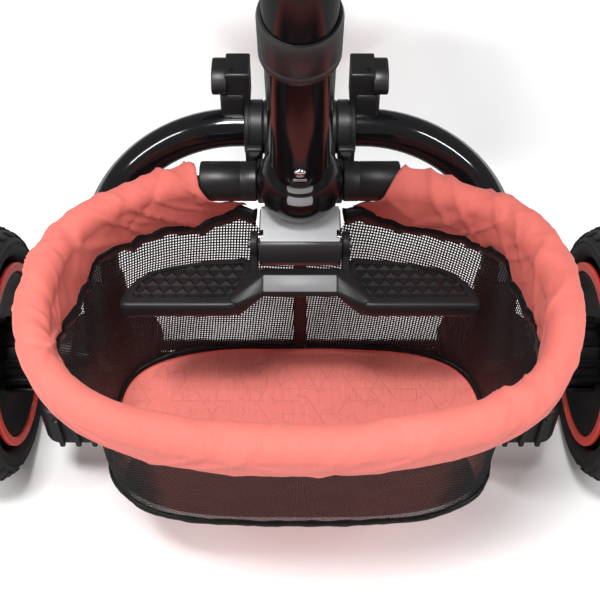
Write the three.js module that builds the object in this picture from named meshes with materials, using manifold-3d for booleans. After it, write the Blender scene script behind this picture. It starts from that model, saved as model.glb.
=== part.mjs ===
// Three-wheel baby stroller with a central push handle, a fold-up double footrest and a basket
// between the rear wheels. Millimetres. While it is built, the origin is on the ground under the
// middle of the rear axle: +Y is forward, +X is the stroller's right side and +Z is up.
import * as THREE from 'three';
import { mergeVertices } from 'three/addons/utils/BufferGeometryUtils.js';
import Module from 'manifold-3d';

const wasm = await Module();
wasm.setup();

// ---- driving dimensions ----
const GAP = 0.3;
const AXLE = { z: 115, rodRadius: 6, tubeRadius: 11, tubeEnd: 105, rodEnd: 246 };
const REAR_WHEEL = { radius: 98, bead: 70, inner: 214, outer: 256, ringWidth: 7.2 };
const FRONT_WHEEL = { y: 520, z: 92, radius: 75, bead: 52, halfWidth: 19 };
const CASTER = { y: 560, crownZ: 178, pinRadius: 8, pinTop: 256, legInner: 22.5, legThick: 6.5 };
const HOOP = { radius: 12.5, postX: 140, footY: -9, footZ: 140, topY: 46, topZ: 300, bend: 100 };
const HUB = { halfWidth: 23.7, floorZ: 266, roofZ: 306, backY: -11.7, frontY: 66 };
const BALL = { y: -15, z: 310, radius: 26 };
const CLAMP = { inner: 24, outer: 36, radius: 18 };
const SOCKET = { y: -5, radius: 12.5, inner: 26.5, outer: 62 };
const ADAPTER = { inner: 32, outer: 56, y: 58, topZ: 342 };
const SPINE = { radius: 16, backY: 62, backZ: 298, frontY: 530, frontZ: 232 };
const BASKET = { y: -100, z: 300, halfX: 149, halfY: 97, power: 2.5, wire: 6, sleeve: 10.5 };
const BAG = {
  topZ: 284, floorZ: 128, floorY: -80, cloth: 3.5, topScale: 0.97,
  floorScale: 0.75, floorWiden: 1.17, floorPower: 3.4,
};
const FOOTREST = { pivotY: -35, pivotZ: 275, pin: 3, armInner: 26.2, arm: 4.8, topZ: 262, thick: 12 };
const HANDLE = { lean: 20, tube: 18, bore: 16, tubeFrom: 30, tubeTo: 430, top: 800 };
const SLEEVE = { radius: 20.5, from: 140, to: 172 };
const SLIDER = { radius: 15.5, from: 330 };
const GRIP = { radius: 14, foam: 18, foamFrom: 32, halfWidth: 165 };
const SEAT = { y: 185, stemRadius: 20, tableRadius: 48, tableZ: 470, panZ: 492, panThick: 13 };
const PAN = { width: 280, depth: 210 };
const BACK = { y: SEAT.y - 95, z: 512, lean: 18, width: 270, height: 420 };
const BUMPER = { y: SEAT.y - 45, z: 575, halfWidth: 155, reach: 167, rise: 43, radius: 11 };
const LEG_REST = { y: SEAT.y + 112, z: 500, width: 220, length: 100 };

const radians = THREE.MathUtils.degToRad;
const point = (x, y, z) => new THREE.Vector3(x, y, z);
const mirrored = (side, name) => `${name}_${side < 0 ? 'left' : 'right'}`;
const SIDES = [-1, 1];

// ---- materials ----
const material = (color, roughness, metalness = 0) =>
  new THREE.MeshStandardMaterial({ color, roughness, metalness });
const GLOSS_BLACK = material(0x0b0b0d, 0.15);
const MATTE_BLACK = material(0x1b1b1d, 0.55);
const SATIN_GREY = material(0x55565a, 0.45);
const STEEL = material(0xb9bcc0, 0.25, 1);
const TYRE = material(0x17171a, 0.85);
const CORAL_PLASTIC = material(0xd8463f, 0.4);
const CORAL_CLOTH = material(0xe8756c, 0.9);
const BLACK_MESH = material(0x202022, 0.95);
const FOAM = material(0x141416, 0.95);

// ---- solids: joining and cutting ----
function closed(geometry) {
  const bare = geometry.clone();
  bare.deleteAttribute('normal');
  bare.deleteAttribute('uv');
  const merged = mergeVertices(bare, 1e-4);
  const kept = [];
  for (let i = 0; i < merged.index.count; i += 3) {
    const [a, b, c] = [0, 1, 2].map((k) => merged.index.getX(i + k));
    if (a !== b && b !== c && c !== a) kept.push(a, b, c);
  }
  merged.setIndex(kept);
  return merged;
}

function toSolid(geometry) {
  const mesh = closed(geometry);
  return new wasm.Manifold(new wasm.Mesh({
    numProp: 3,
    vertProperties: new Float32Array(mesh.attributes.position.array),
    triVerts: new Uint32Array(mesh.index.array),
  }));
}

function toGeometry(solid) {
  const mesh = solid.getMesh();
  const geometry = new THREE.BufferGeometry();
  geometry.setAttribute('position', new THREE.BufferAttribute(mesh.vertProperties, 3));
  geometry.setIndex(new THREE.BufferAttribute(mesh.triVerts, 1));
  return geometry;
}

const join = (...parts) => toGeometry(parts.map(toSolid).reduce((a, b) => a.add(b)));
const cut = (body, ...tools) =>
  toGeometry(tools.map(toSolid).reduce((a, b) => a.subtract(b), toSolid(body)));

// ---- solids: basic shapes ----
// Solid of revolution from [radius, along] pairs, turned about the axis 'x', 'y' or 'z'.
function turned(profile, axis = 'x', segments = 28) {
  const geometry = new THREE.LatheGeometry(profile.map((p) => new THREE.Vector2(...p)), segments);
  if (axis === 'x') geometry.rotateZ(-Math.PI / 2);
  if (axis === 'z') geometry.rotateX(Math.PI / 2);
  return geometry;
}

function rod(radius, from, to, sides = 16) {
  const along = new THREE.Vector3().subVectors(to, from);
  const geometry = new THREE.CylinderGeometry(radius, radius, along.length(), sides);
  const turn = new THREE.Quaternion().setFromUnitVectors(point(0, 1, 0), along.normalize());
  geometry.applyQuaternion(turn);
  return geometry.translate(...new THREE.Vector3().addVectors(from, to).multiplyScalar(0.5));
}

function box(x0, x1, y0, y1, z0, z1) {
  const geometry = new THREE.BoxGeometry(Math.abs(x1 - x0), y1 - y0, z1 - z0);
  return geometry.translate((x0 + x1) / 2, (y0 + y1) / 2, (z0 + z1) / 2);
}

function rounded(width, depth, corner) {
  const [x, y] = [width / 2, depth / 2];
  const shape = new THREE.Shape();
  shape.absarc(x - corner, y - corner, corner, 0, Math.PI / 2);
  shape.absarc(-x + corner, y - corner, corner, Math.PI / 2, Math.PI);
  shape.absarc(-x + corner, -y + corner, corner, Math.PI, 1.5 * Math.PI);
  shape.absarc(x - corner, -y + corner, corner, 1.5 * Math.PI, 2 * Math.PI);
  return shape;
}

// A plate of outline shape, from z0 to z1, with its edges eased by `ease`.
function plate(shape, z0, z1, ease = 0, curveSegments = 2) {
  const geometry = new THREE.ExtrudeGeometry(shape, {
    depth: z1 - z0 - 2 * ease,
    bevelEnabled: ease > 0,
    bevelThickness: ease,
    bevelSize: ease,
    bevelOffset: -ease,
    bevelSegments: 1,
    curveSegments,
  });
  return geometry.translate(0, 0, z0 + ease);
}

const polygon = (pairs) => new THREE.Shape(pairs.map((p) => new THREE.Vector2(...p)));

// A plate whose outline is drawn in [y, z] pairs and that is as wide as x0..x1.
function sideways(pairs, x0, x1) {
  const [low, high] = [Math.min(x0, x1), Math.max(x0, x1)];
  const geometry = new THREE.ExtrudeGeometry(polygon(pairs), {
    depth: high - low, bevelEnabled: false,
  });
  return geometry.applyMatrix4(new THREE.Matrix4().set(
    0, 0, 1, low, 1, 0, 0, 0, 0, 1, 0, 0, 0, 0, 0, 1));
}

function swept(curve, radius, steps, sides = 14) {
  const section = new THREE.Shape().absarc(0, 0, radius, 0, 2 * Math.PI);
  return new THREE.ExtrudeGeometry(section, {
    extrudePath: curve, steps, curveSegments: sides / 2, bevelEnabled: false,
  });
}

// Straight runs joined by round bends that start `bend` before each corner.
function bentPath(corners, bend) {
  const path = new THREE.CurvePath();
  let start = corners[0];
  for (let i = 1; i < corners.length - 1; i++) {
    const corner = corners[i];
    const before = corner.clone().lerp(corners[i - 1], bend / corner.distanceTo(corners[i - 1]));
    const after = corner.clone().lerp(corners[i + 1], bend / corner.distanceTo(corners[i + 1]));
    const soft = 0.5523;
    path.add(new THREE.LineCurve3(start, before));
    path.add(new THREE.CubicBezierCurve3(
      before, before.clone().lerp(corner, soft), after.clone().lerp(corner, soft), after));
    start = after;
  }
  path.add(new THREE.LineCurve3(start, corners[corners.length - 1]));
  return path;
}

const stroller = new THREE.Group();

function add(name, geometry, look) {
  const mesh = new THREE.Mesh(closed(geometry), look);
  mesh.name = name;
  stroller.add(mesh);
}

// ---- rear hoop, hub and clamps ----
const hoopPath = bentPath([
  point(-HOOP.postX, HOOP.footY, HOOP.footZ),
  point(-HOOP.postX, HOOP.topY, HOOP.topZ),
  point(HOOP.postX, HOOP.topY, HOOP.topZ),
  point(HOOP.postX, HOOP.footY, HOOP.footZ),
], HOOP.bend);
const hoopTube = (radius) => swept(hoopPath, radius, 26, 12);
const spineTube = (radius, from = 0, to = 1) => {
  const back = point(0, SPINE.backY, SPINE.backZ);
  const front = point(0, SPINE.frontY, SPINE.frontZ);
  return rod(radius, back.clone().lerp(front, from), back.clone().lerp(front, to), 16);
};

add('rear_hoop', hoopTube(HOOP.radius), GLOSS_BLACK);

const ballSeat = new THREE.SphereGeometry(BALL.radius + 1, 20, 12)
  .rotateX(radians(HANDLE.lean) + Math.PI / 2)
  .translate(0, BALL.y, BALL.z);

add('hub_housing', cut(
  join(
    rod(CLAMP.radius, point(-HUB.halfWidth, HOOP.topY, HOOP.topZ),
      point(HUB.halfWidth, HOOP.topY, HOOP.topZ), 16),
    plate(rounded(42, HUB.frontY - HUB.backY, 6), HUB.floorZ, HUB.roofZ, 2)
      .translate(0, (HUB.frontY + HUB.backY) / 2, 0),
    rod(14, point(-SOCKET.inner + GAP, SOCKET.y, BASKET.z),
      point(SOCKET.inner - GAP, SOCKET.y, BASKET.z), 16),
    spineTube(SPINE.radius + 4.5, 0, 0.08),
  ),
  hoopTube(HOOP.radius + GAP), ballSeat, spineTube(SPINE.radius + GAP, 0, 0.2),
), MATTE_BLACK);

for (const side of SIDES) {
  const [inner, outer] = [side * CLAMP.inner, side * CLAMP.outer];
  const ring = rod(CLAMP.radius, point(inner, HOOP.topY, HOOP.topZ),
    point(outer, HOOP.topY, HOOP.topZ), 16);
  const tab = box(inner, outer - side, HOOP.topY - 21, HOOP.topY - 8, 287, 297);
  add(mirrored(side, 'hoop_clamp'), cut(join(ring, tab), hoopTube(HOOP.radius + GAP)),
    MATTE_BLACK);
}

// ---- basket rim and its sockets ----
class RimCurve extends THREE.Curve {
  constructor(endX) {
    super();
    const share = (endX / BASKET.halfX) ** BASKET.power;
    const y = (1 - share) ** (1 / BASKET.power) * BASKET.halfY;
    this.start = Math.atan2(y / BASKET.halfY, endX / BASKET.halfX);
  }

  getPoint(t, target = new THREE.Vector3()) {
    const angle = this.start - t * (Math.PI + 2 * this.start);
    const [c, s] = [Math.cos(angle), Math.sin(angle)];
    const power = BASKET.power;
    const reach = (Math.abs(c) ** power + Math.abs(s) ** power) ** (-1 / power);
    return target.set(
      BASKET.halfX * c * reach, BASKET.y + BASKET.halfY * s * reach, BASKET.z);
  }
}

const rimTube = (radius, endX, steps) => swept(new RimCurve(endX), radius, steps, 7);
const socketBore = rimTube(BASKET.wire + GAP, 48, 34);

for (const side of SIDES) {
  const tube = rod(SOCKET.radius, point(side * SOCKET.inner, SOCKET.y, BASKET.z),
    point(side * SOCKET.outer, SOCKET.y, BASKET.z), 16);
  add(mirrored(side, 'basket_socket'), cut(tube, socketBore), MATTE_BLACK);
}
add('basket_rim', rimTube(BASKET.wire, 50, 34), STEEL);
add('basket_sleeve', cut(rimTube(BASKET.sleeve, 66, 28), rimTube(BASKET.wire + 2, 60, 30)),
  CORAL_CLOTH);

// ---- basket bag: a turned cup stretched onto the rim's outline, open at the top ----
function basketShaped(profile, segments) {
  const geometry = closed(turned(profile, 'z', segments));
  const place = geometry.attributes.position;
  for (let i = 0; i < place.count; i++) {
    const [x, y, z] = [place.getX(i), place.getY(i), place.getZ(i)];
    const radius = Math.hypot(x, y);
    const [c, s] = radius > 0 ? [Math.abs(x / radius), Math.abs(y / radius)] : [1, 0];
    const rise = (z - BAG.floorZ) / (BASKET.z - BAG.floorZ);
    const power = BAG.floorPower + rise * (BASKET.power - BAG.floorPower);
    const reach = (c ** power + s ** power) ** (-1 / power);
    const centreY = BAG.floorY + rise * (BASKET.y - BAG.floorY);
    const widen = BAG.floorWiden + rise * (1 - BAG.floorWiden);
    place.setXYZ(i, x * reach * BASKET.halfX * widen, centreY + y * reach * BASKET.halfY, z);
  }
  return geometry;
}
const clothShare = BAG.cloth / BASKET.halfX;
const bagCup = basketShaped([
  [0, BAG.floorZ],
  [BAG.floorScale - 0.04, BAG.floorZ],
  [BAG.floorScale, BAG.floorZ + 8],
  [BAG.topScale, BAG.topZ],
  [BAG.topScale - clothShare, BAG.topZ],
  [BAG.floorScale - clothShare, BAG.floorZ + 9],
  [BAG.floorScale - 0.06, BAG.floorZ + BAG.cloth],
  [0, BAG.floorZ + BAG.cloth],
], 40);
add('basket_bag', cut(bagCup, box(-48, 48, -60, 20, 250, 300)), BLACK_MESH);
add('basket_floor', basketShaped([
  [0, BAG.floorZ + BAG.cloth + GAP],
  [BAG.floorScale - 0.1, BAG.floorZ + BAG.cloth + GAP],
  [BAG.floorScale - 0.1, BAG.floorZ + BAG.cloth + 3],
  [0, BAG.floorZ + BAG.cloth + 3],
], 40), CORAL_CLOTH);

// ---- seat adapters: rounded ears on the hoop, flat on top ----
const adapterEar = (() => {
  const [y, top] = [ADAPTER.y, ADAPTER.topZ];
  return [[y - 11, 325], [y + 8, 325], [y + 13, 330], [y + 13, top - 8], [y + 8, top],
    [y - 8, top], [y - 15, top - 7], [y - 15, 331]];
})();
for (const side of SIDES) {
  const [y, top] = [ADAPTER.y, ADAPTER.topZ];
  const ear = sideways(adapterEar, side * 46.5, side * ADAPTER.outer);
  const block = box(side * ADAPTER.inner, side * 47, y - 9, y + 12, 312, top);
  const foot = box(side * (ADAPTER.inner + 4), side * 51, y - 13, y + 9, 306, 327);
  add(mirrored(side, 'seat_adapter'), cut(
    join(ear, block, foot),
    hoopTube(HOOP.radius + GAP),
    rod(CLAMP.radius + GAP, point(-40, HOOP.topY, HOOP.topZ), point(40, HOOP.topY, HOOP.topZ), 16),
  ), MATTE_BLACK);
}

// ---- rear axle and its housings ----
const axleRod = (radius) => rod(radius, point(-AXLE.rodEnd, 0, AXLE.z),
  point(AXLE.rodEnd, 0, AXLE.z), 16);
const axleTube = (radius) => rod(radius, point(-AXLE.tubeEnd, 0, AXLE.z),
  point(AXLE.tubeEnd, 0, AXLE.z), 18);
add('axle_rod', axleRod(AXLE.rodRadius), STEEL);
add('axle_tube', cut(axleTube(AXLE.tubeRadius), axleRod(AXLE.rodRadius + GAP)), GLOSS_BLACK);

const housingBody = { inner: 106, outer: 190, backY: -62, frontY: 30, floorZ: 84, roofZ: 124 };
for (const side of SIDES) {
  const { inner, outer, backY, frontY, floorZ, roofZ } = housingBody;
  const body = plate(rounded(outer - inner, frontY - backY, 10), floorZ, roofZ, 3)
    .translate(side * (inner + outer) / 2, (frontY + backY) / 2, 0);
  const ribs = [150, 162, 174].map((x) =>
    box(side * x, side * (x + 4), backY - 3, backY + 2, floorZ + 3, roofZ - 4));
  const boss = rod(15, point(side * 180, 0, AXLE.z), point(side * 205.5, 0, AXLE.z), 16);
  const shoulder = rod(20, point(side * 150, 0, AXLE.z), point(side * 185, 0, AXLE.z + 4), 16);
  const foot = point(side * HOOP.postX, HOOP.footY, HOOP.footZ);
  const up = point(0, HOOP.topY - HOOP.footY, HOOP.topZ - HOOP.footZ).normalize();
  const sleeve = rod(15.5, foot.clone().addScaledVector(up, -14),
    foot.clone().addScaledVector(up, 58), 16);
  add(mirrored(side, 'axle_housing'), cut(
    join(body, boss, shoulder, sleeve, ...ribs),
    hoopTube(HOOP.radius + GAP), axleRod(AXLE.rodRadius + GAP),
  ), MATTE_BLACK);
}

// ---- rear wheels ----
// Half of a tyre's section: share of the way from bead to tread, share of the width.
const TYRE_SECTION = [
  [0, 0.08], [0.12, 0.02], [0.4, 0], [0.66, 0.06], [0.84, 0.16], [0.95, 0.3], [1, 0.44],
];

function tyre(radius, bead, x0, x1, segments = 28) {
  const at = ([up, over]) => [bead + up * (radius - bead), x0 + over * (x1 - x0)];
  const far = TYRE_SECTION.map(([up, over]) => [up, 1 - over]).reverse();
  return turned([...TYRE_SECTION, ...far, TYRE_SECTION[0]].map(at), 'x', segments);
}

function place(geometry, x, y, z) {
  return geometry.clone().translate(x, y, z);
}

function flip(geometry) {
  return toGeometry(toSolid(geometry).mirror([1, 0, 0]));
}

const rearRim = (() => {
  const { bead, inner, outer, ringWidth } = REAR_WHEEL;
  const seat = bead - GAP;
  const lip = bead - ringWidth - 0.6;
  const barrel = 26;
  const body = turned([
    [0, AXLE.rodEnd + 0.5], [AXLE.rodRadius + 0.5, AXLE.rodEnd + 0.5],
    [AXLE.rodRadius + 0.5, inner - 8], [barrel - 1.5, inner - 8], [barrel, inner - 6],
    [barrel, inner + 14], [lip - 5, inner + 8], [lip, inner + 3.6], [seat, inner + 3.6],
    [seat, outer - 4.6], [lip, outer - 4.6], [44, outer - 12], [24, outer - 8],
    [20, outer - 3], [0, outer - 3],
  ], 'x', 28);
  const ribs = Array.from({ length: 8 }, (_, i) =>
    box(inner - 6, inner + 12, barrel - 1, barrel + 3, -1.6, 1.6).rotateX(i * Math.PI / 4));
  return join(body, ...ribs);
})();
const rearTyre = tyre(REAR_WHEEL.radius, REAR_WHEEL.bead, REAR_WHEEL.inner, REAR_WHEEL.outer);
const ringSection = (x0, x1) => {
  const { bead, ringWidth } = REAR_WHEEL;
  return [[bead - GAP, x0], [bead - GAP, x1], [bead - ringWidth, x1], [bead - ringWidth, x0],
    [bead - GAP, x0]];
};
const innerRing = turned(ringSection(REAR_WHEEL.inner, REAR_WHEEL.inner + 3.3), 'x', 28);
const outerRing = turned(ringSection(REAR_WHEEL.outer - 4.3, REAR_WHEEL.outer - 1), 'x', 28);

for (const side of SIDES) {
  const fit = (geometry) => place(side < 0 ? flip(geometry) : geometry, 0, 0, AXLE.z);
  add(mirrored(side, 'rear_tyre'), fit(rearTyre), TYRE);
  add(mirrored(side, 'rear_rim'), fit(rearRim), MATTE_BLACK);
  add(mirrored(side, 'rear_ring_inner'), fit(innerRing), CORAL_PLASTIC);
  add(mirrored(side, 'rear_ring_outer'), fit(outerRing), CORAL_PLASTIC);
}

// ---- spine, head housing and front caster ----
add('spine_tube', spineTube(SPINE.radius, 0, 1), GLOSS_BLACK);
add('head_housing', cut(
  join(
    rod(22, point(0, CASTER.y, 196), point(0, CASTER.y, 264), 16),
    spineTube(SPINE.radius + 5, 0.9, 1.03),
  ),
  spineTube(SPINE.radius + GAP, 0.8, 1 + GAP / 470),
  rod(CASTER.pinRadius + GAP, point(0, CASTER.y, 180), point(0, CASTER.y, CASTER.pinTop + 0.5), 16),
), MATTE_BLACK);

const legOutline = [[CASTER.y - 14, CASTER.crownZ + 13], [CASTER.y - 16, CASTER.crownZ],
  [FRONT_WHEEL.y - 12, FRONT_WHEEL.z + 5], [FRONT_WHEEL.y - 8, FRONT_WHEEL.z - 10],
  [FRONT_WHEEL.y + 8, FRONT_WHEEL.z - 10], [FRONT_WHEEL.y + 13, FRONT_WHEEL.z + 5],
  [CASTER.y + 14, CASTER.crownZ], [CASTER.y + 14, CASTER.crownZ + 13]];
const axleHole = rod(5 + GAP, point(-40, FRONT_WHEEL.y, FRONT_WHEEL.z),
  point(40, FRONT_WHEEL.y, FRONT_WHEEL.z), 16);
add('front_fork', cut(
  join(
    ...SIDES.map((side) => sideways(legOutline, side * CASTER.legInner,
      side * (CASTER.legInner + CASTER.legThick))),
    box(-25, 25, CASTER.y - 14, CASTER.y + 14, CASTER.crownZ, CASTER.crownZ + 13),
    rod(CASTER.pinRadius, point(0, CASTER.y, CASTER.crownZ + 5),
      point(0, CASTER.y, CASTER.pinTop), 16),
  ),
  axleHole,
), MATTE_BLACK);
add('front_axle', rod(5, point(-31, FRONT_WHEEL.y, FRONT_WHEEL.z),
  point(31, FRONT_WHEEL.y, FRONT_WHEEL.z), 16), STEEL);
const { halfWidth } = FRONT_WHEEL;
add('front_tyre', place(tyre(FRONT_WHEEL.radius, FRONT_WHEEL.bead, -halfWidth, halfWidth, 24),
  0, FRONT_WHEEL.y, FRONT_WHEEL.z), TYRE);
add('front_rim', place(turned([
  [5 + GAP, -21], [14, -21], [16, -12], [46, -12], [48, -17], [FRONT_WHEEL.bead - GAP, -17],
  [FRONT_WHEEL.bead - GAP, 17], [48, 17], [46, 12], [16, 12], [14, 21], [5 + GAP, 21],
  [5 + GAP, -21],
], 'x', 24), 0, FRONT_WHEEL.y, FRONT_WHEEL.z), CORAL_PLASTIC);

// ---- footrest: fixed knuckle, pin, and the swinging frame with two treads ----
const { pivotY, pivotZ } = FOOTREST;
const pinHole = rod(FOOTREST.pin + GAP, point(-40, pivotY, pivotZ), point(40, pivotY, pivotZ), 12);
add('hinge_knuckle', cut(
  sideways([[HUB.backY - GAP, 285], [pivotY - 6, 285], [pivotY - 9.5, 283.2],
    [pivotY - 11.3, 279], [pivotY - 11.5, 271], [pivotY - 9, 265.5], [pivotY - 3, 263],
    [HUB.backY - GAP, 263]], -25.5, 25.5),
  pinHole, ballSeat,
), SATIN_GREY);
add('hinge_pin', rod(FOOTREST.pin, point(-32, pivotY, pivotZ), point(32, pivotY, pivotZ), 12), STEEL);

const padOutline = (side) => polygon([[27, -46], [31, -33], [63, -36.5], [88, -42], [100, -49],
  [106, -57], [111, -70], [109, -74], [44, -74], [36, -68]].map(([x, y]) => [side * x, y]));
const treadOutline = (side) => polygon([[33, -39.5], [64, -41], [87, -46], [96, -51.5],
  [101, -59], [104, -68], [47, -68], [41, -63]].map(([x, y]) => [side * x, y]));
const armOutline = Array.from({ length: 9 }, (_, i) => {
  const angle = radians(-10 + i * 25);
  return [pivotY + 8 * Math.cos(angle), pivotZ + 8 * Math.sin(angle)];
}).concat([[-50, 264], [-50, 251], [-36, 251]]);
const tread = (side, z0, z1, ease) => plate(treadOutline(side), z0, z1, ease);
// A raised bridge behind the knuckle, with a sloping shoulder down to each pad.
const bridge = [[-49, 268], [-58.4, 272.5], [-67.7, 266.5], [-68.5, 263], [-60, 260.5],
  [-50, 260.5]];
const shoulder = (side) => toGeometry(wasm.Manifold.hull([
  ...bridge.map(([y, z]) => [side * 22.4, y, z]),
  ...[[30, -46], [46, -70], [44, -74]].flatMap(([x, y]) =>
    [[side * x, y, FOOTREST.topZ], [side * x, y, FOOTREST.topZ - FOOTREST.thick]]),
]));
add('footrest_frame', cut(
  join(
    ...SIDES.map((side) => plate(padOutline(side), FOOTREST.topZ - FOOTREST.thick,
      FOOTREST.topZ, 1.5)),
    ...SIDES.map((side) => sideways(armOutline, side * FOOTREST.armInner,
      side * (FOOTREST.armInner + FOOTREST.arm))),
    sideways(bridge, -22.8, 22.8), shoulder(-1), shoulder(1),
  ),
  pinHole, ...SIDES.map((side) => tread(side, 259.5, 270, 0)),
), MATTE_BLACK);
for (const side of SIDES) {
  const inset = tread(side, 259.5 + GAP, 262.6, 0);
  const centre = point(side * 70, -54, 0);
  inset.translate(-centre.x, -centre.y, 0).scale(0.985, 0.97, 1).translate(centre.x, centre.y, 0);
  add(mirrored(side, 'footrest_tread'), inset, FOAM);
}

// ---- push handle: knuckle ball, tubes, collar, latch button and grip ----
// Handle pieces are drawn along +Z from the ball's centre, then leaned back.
const lean = (geometry) => geometry.rotateX(radians(HANDLE.lean)).translate(0, BALL.y, BALL.z);
const ballShape = (radius) => new THREE.SphereGeometry(radius, 20, 12).rotateX(Math.PI / 2);
const BUTTON = { radius: 3.4, along: 46, top: -19.6, foot: -14 };
const button = (radius, y0, y1) =>
  rod(radius, point(0, y0, BUTTON.along), point(0, y1, BUTTON.along), 14);

// Two indicator windows lie in the ball's skin, one above the other, behind the tube.
const windowRows = { upper: [19, 22.2], lower: [12.5, 17] };
const windowBlock = ([z0, z1], grow) => cut(
  box(-8 - grow, 8 + grow, -30, 0, z0 - grow, z1 + grow), ballShape(23.5 - grow));

add('handle_ball', lean(cut(
  join(
    ballShape(BALL.radius),
    rod(HANDLE.bore - GAP, point(0, 0, 10), point(0, 0, HANDLE.tubeFrom + 10), 16),
  ),
  ...Object.values(windowRows).map((row) => windowBlock(row, GAP)),
)), GLOSS_BLACK);
for (const [name, row] of Object.entries(windowRows)) {
  const pane = toSolid(windowBlock(row, 0)).intersect(toSolid(ballShape(BALL.radius)));
  add(`latch_window_${name}`, lean(toGeometry(pane)), SATIN_GREY);
}
add('handle_tube', lean(cut(
  rod(HANDLE.tube, point(0, 0, HANDLE.tubeFrom), point(0, 0, HANDLE.tubeTo), 16),
  rod(HANDLE.bore, point(0, 0, 16), point(0, 0, HANDLE.tubeTo + 1), 16),
  button(BUTTON.radius + GAP, -20, -10),
)), GLOSS_BLACK);
add('latch_button', lean(button(BUTTON.radius, BUTTON.top, BUTTON.foot)), STEEL);

// A ring round the tube; `bore` is its inner radius, and its ends are eased.
const ring = (bore, radius, from, to) => turned([[bore, from], [radius - 1.5, from],
  [radius, from + 3], [radius, to - 3], [radius - 1.5, to], [bore, to], [bore, from]], 'z', 24);
add('handle_sleeve', lean(ring(HANDLE.tube + GAP, SLEEVE.radius, SLEEVE.from, SLEEVE.to)),
  MATTE_BLACK);
add('handle_lock', lean(cut(
  ring(SLIDER.radius + GAP, SLEEVE.radius, HANDLE.tubeTo - 16, HANDLE.tubeTo + 22),
  rod(HANDLE.tube + GAP, point(0, 0, HANDLE.tubeTo - 20), point(0, 0, HANDLE.tubeTo + GAP), 16),
)), MATTE_BLACK);

add('handle_slider', lean(rod(SLIDER.radius, point(0, 0, SLIDER.from),
  point(0, 0, HANDLE.top - 22), 16)), GLOSS_BLACK);
add('handle_crossbar', lean(cut(
  join(
    rod(GRIP.radius, point(-GRIP.halfWidth - 4, 0, HANDLE.top),
      point(GRIP.halfWidth + 4, 0, HANDLE.top), 16),
    rod(20, point(0, 0, HANDLE.top - 62), point(0, 0, HANDLE.top), 16),
    rod(20, point(-27, 0, HANDLE.top), point(27, 0, HANDLE.top), 16),
  ),
  rod(SLIDER.radius + GAP, point(0, 0, HANDLE.top - 70), point(0, 0, HANDLE.top - 22 + GAP), 16),
)), MATTE_BLACK);
for (const side of SIDES) {
  const [from, to] = [side * GRIP.foamFrom, side * GRIP.halfWidth];
  add(mirrored(side, 'handle_grip'), lean(cut(
    rod(GRIP.foam, point(from, 0, HANDLE.top), point(to, 0, HANDLE.top), 16),
    rod(GRIP.radius + GAP, point(-200, 0, HANDLE.top), point(200, 0, HANDLE.top), 16),
  )), FOAM);
}

// ---- seat: stem, turntable, pan, back, leg rest, bumper bar and soft pads ----
const stemFootZ = 262;
add('seat_stem', cut(
  join(
    box(-22, 22, SEAT.y - 25, SEAT.y + 25, stemFootZ, stemFootZ + 44),
    rod(SEAT.stemRadius, point(0, SEAT.y, stemFootZ + 30), point(0, SEAT.y, SEAT.tableZ), 16),
    rod(SEAT.tableRadius, point(0, SEAT.y, SEAT.tableZ - 1), point(0, SEAT.y, SEAT.tableZ + 9), 32),
  ),
  spineTube(SPINE.radius + GAP, 0, 1),
), MATTE_BLACK);
add('seat_turntable', rod(SEAT.tableRadius, point(0, SEAT.y, SEAT.tableZ + 9.5),
  point(0, SEAT.y, SEAT.panZ - GAP), 32), SATIN_GREY);

const panRoof = SEAT.panZ + SEAT.panThick;
add('seat_pan', join(
  plate(rounded(PAN.width, PAN.depth, 30), SEAT.panZ, panRoof, 3).translate(0, SEAT.y, 0),
  ...SIDES.flatMap((side) => [
    box(side * 111, side * 118, SEAT.y + 95, LEG_REST.y + 6, SEAT.panZ + 1, panRoof - 1),
    box(side * 136.5, side * 143, BACK.y - 9, BACK.y + 60, SEAT.panZ + 1, 524),
    box(side * 136.5, side * 143, BUMPER.y - 13, BUMPER.y + 13, SEAT.panZ + 1, BUMPER.z + 10),
  ]),
), MATTE_BLACK);
add('seat_cushion', plate(rounded(252, 160, 30), panRoof + GAP, panRoof + 26, 6)
  .translate(0, SEAT.y + 12, 0), CORAL_CLOTH);
add('harness_buckle', plate(rounded(38, 44, 8), panRoof + 26.3, panRoof + 38, 3)
  .translate(0, SEAT.y - 10, 0), GLOSS_BLACK);

// Backrest pieces are drawn upright from the hinge line, +Y towards the child, then leaned.
const recline = (geometry) => geometry.rotateX(radians(BACK.lean)).translate(0, BACK.y, BACK.z);
const upright = (shape, y0, y1, ease, z) =>
  recline(plate(shape, y0, y1, ease).rotateX(Math.PI / 2).rotateZ(Math.PI).translate(0, 0, z));
const backMiddle = 14 + BACK.height / 2;
add('back_shell', upright(rounded(BACK.width, BACK.height, 60), -12, 0, 3, backMiddle), MATTE_BLACK);
add('back_cushion', upright(rounded(244, 390, 50), GAP, 26, 7, backMiddle + 4), CORAL_CLOTH);
add('head_pillow', upright(rounded(180, 90, 30), 26.3, 44, 5, 360), CORAL_CLOTH);
for (const side of SIDES) {
  add(mirrored(side, 'shoulder_pad'), recline(plate(rounded(34, 150, 12), 26.3, 34, 2)
    .rotateX(Math.PI / 2).rotateZ(Math.PI).translate(side * 48, 0, 222)), FOAM);
}

const legHinge = (geometry) => geometry.translate(0, LEG_REST.y, LEG_REST.z);
const hanging = (width, y0, y1, ease, height, corner) =>
  legHinge(plate(rounded(width, height, corner), y0, y1, ease)
    .rotateX(Math.PI / 2).rotateZ(Math.PI).translate(0, 0, -5 - LEG_REST.length / 2));
add('leg_rest', hanging(LEG_REST.width, -5, 5, 2, LEG_REST.length, 16), MATTE_BLACK);
add('leg_cushion', hanging(196, 5 + GAP, 16, 4, 104, 18), CORAL_CLOTH);

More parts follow.
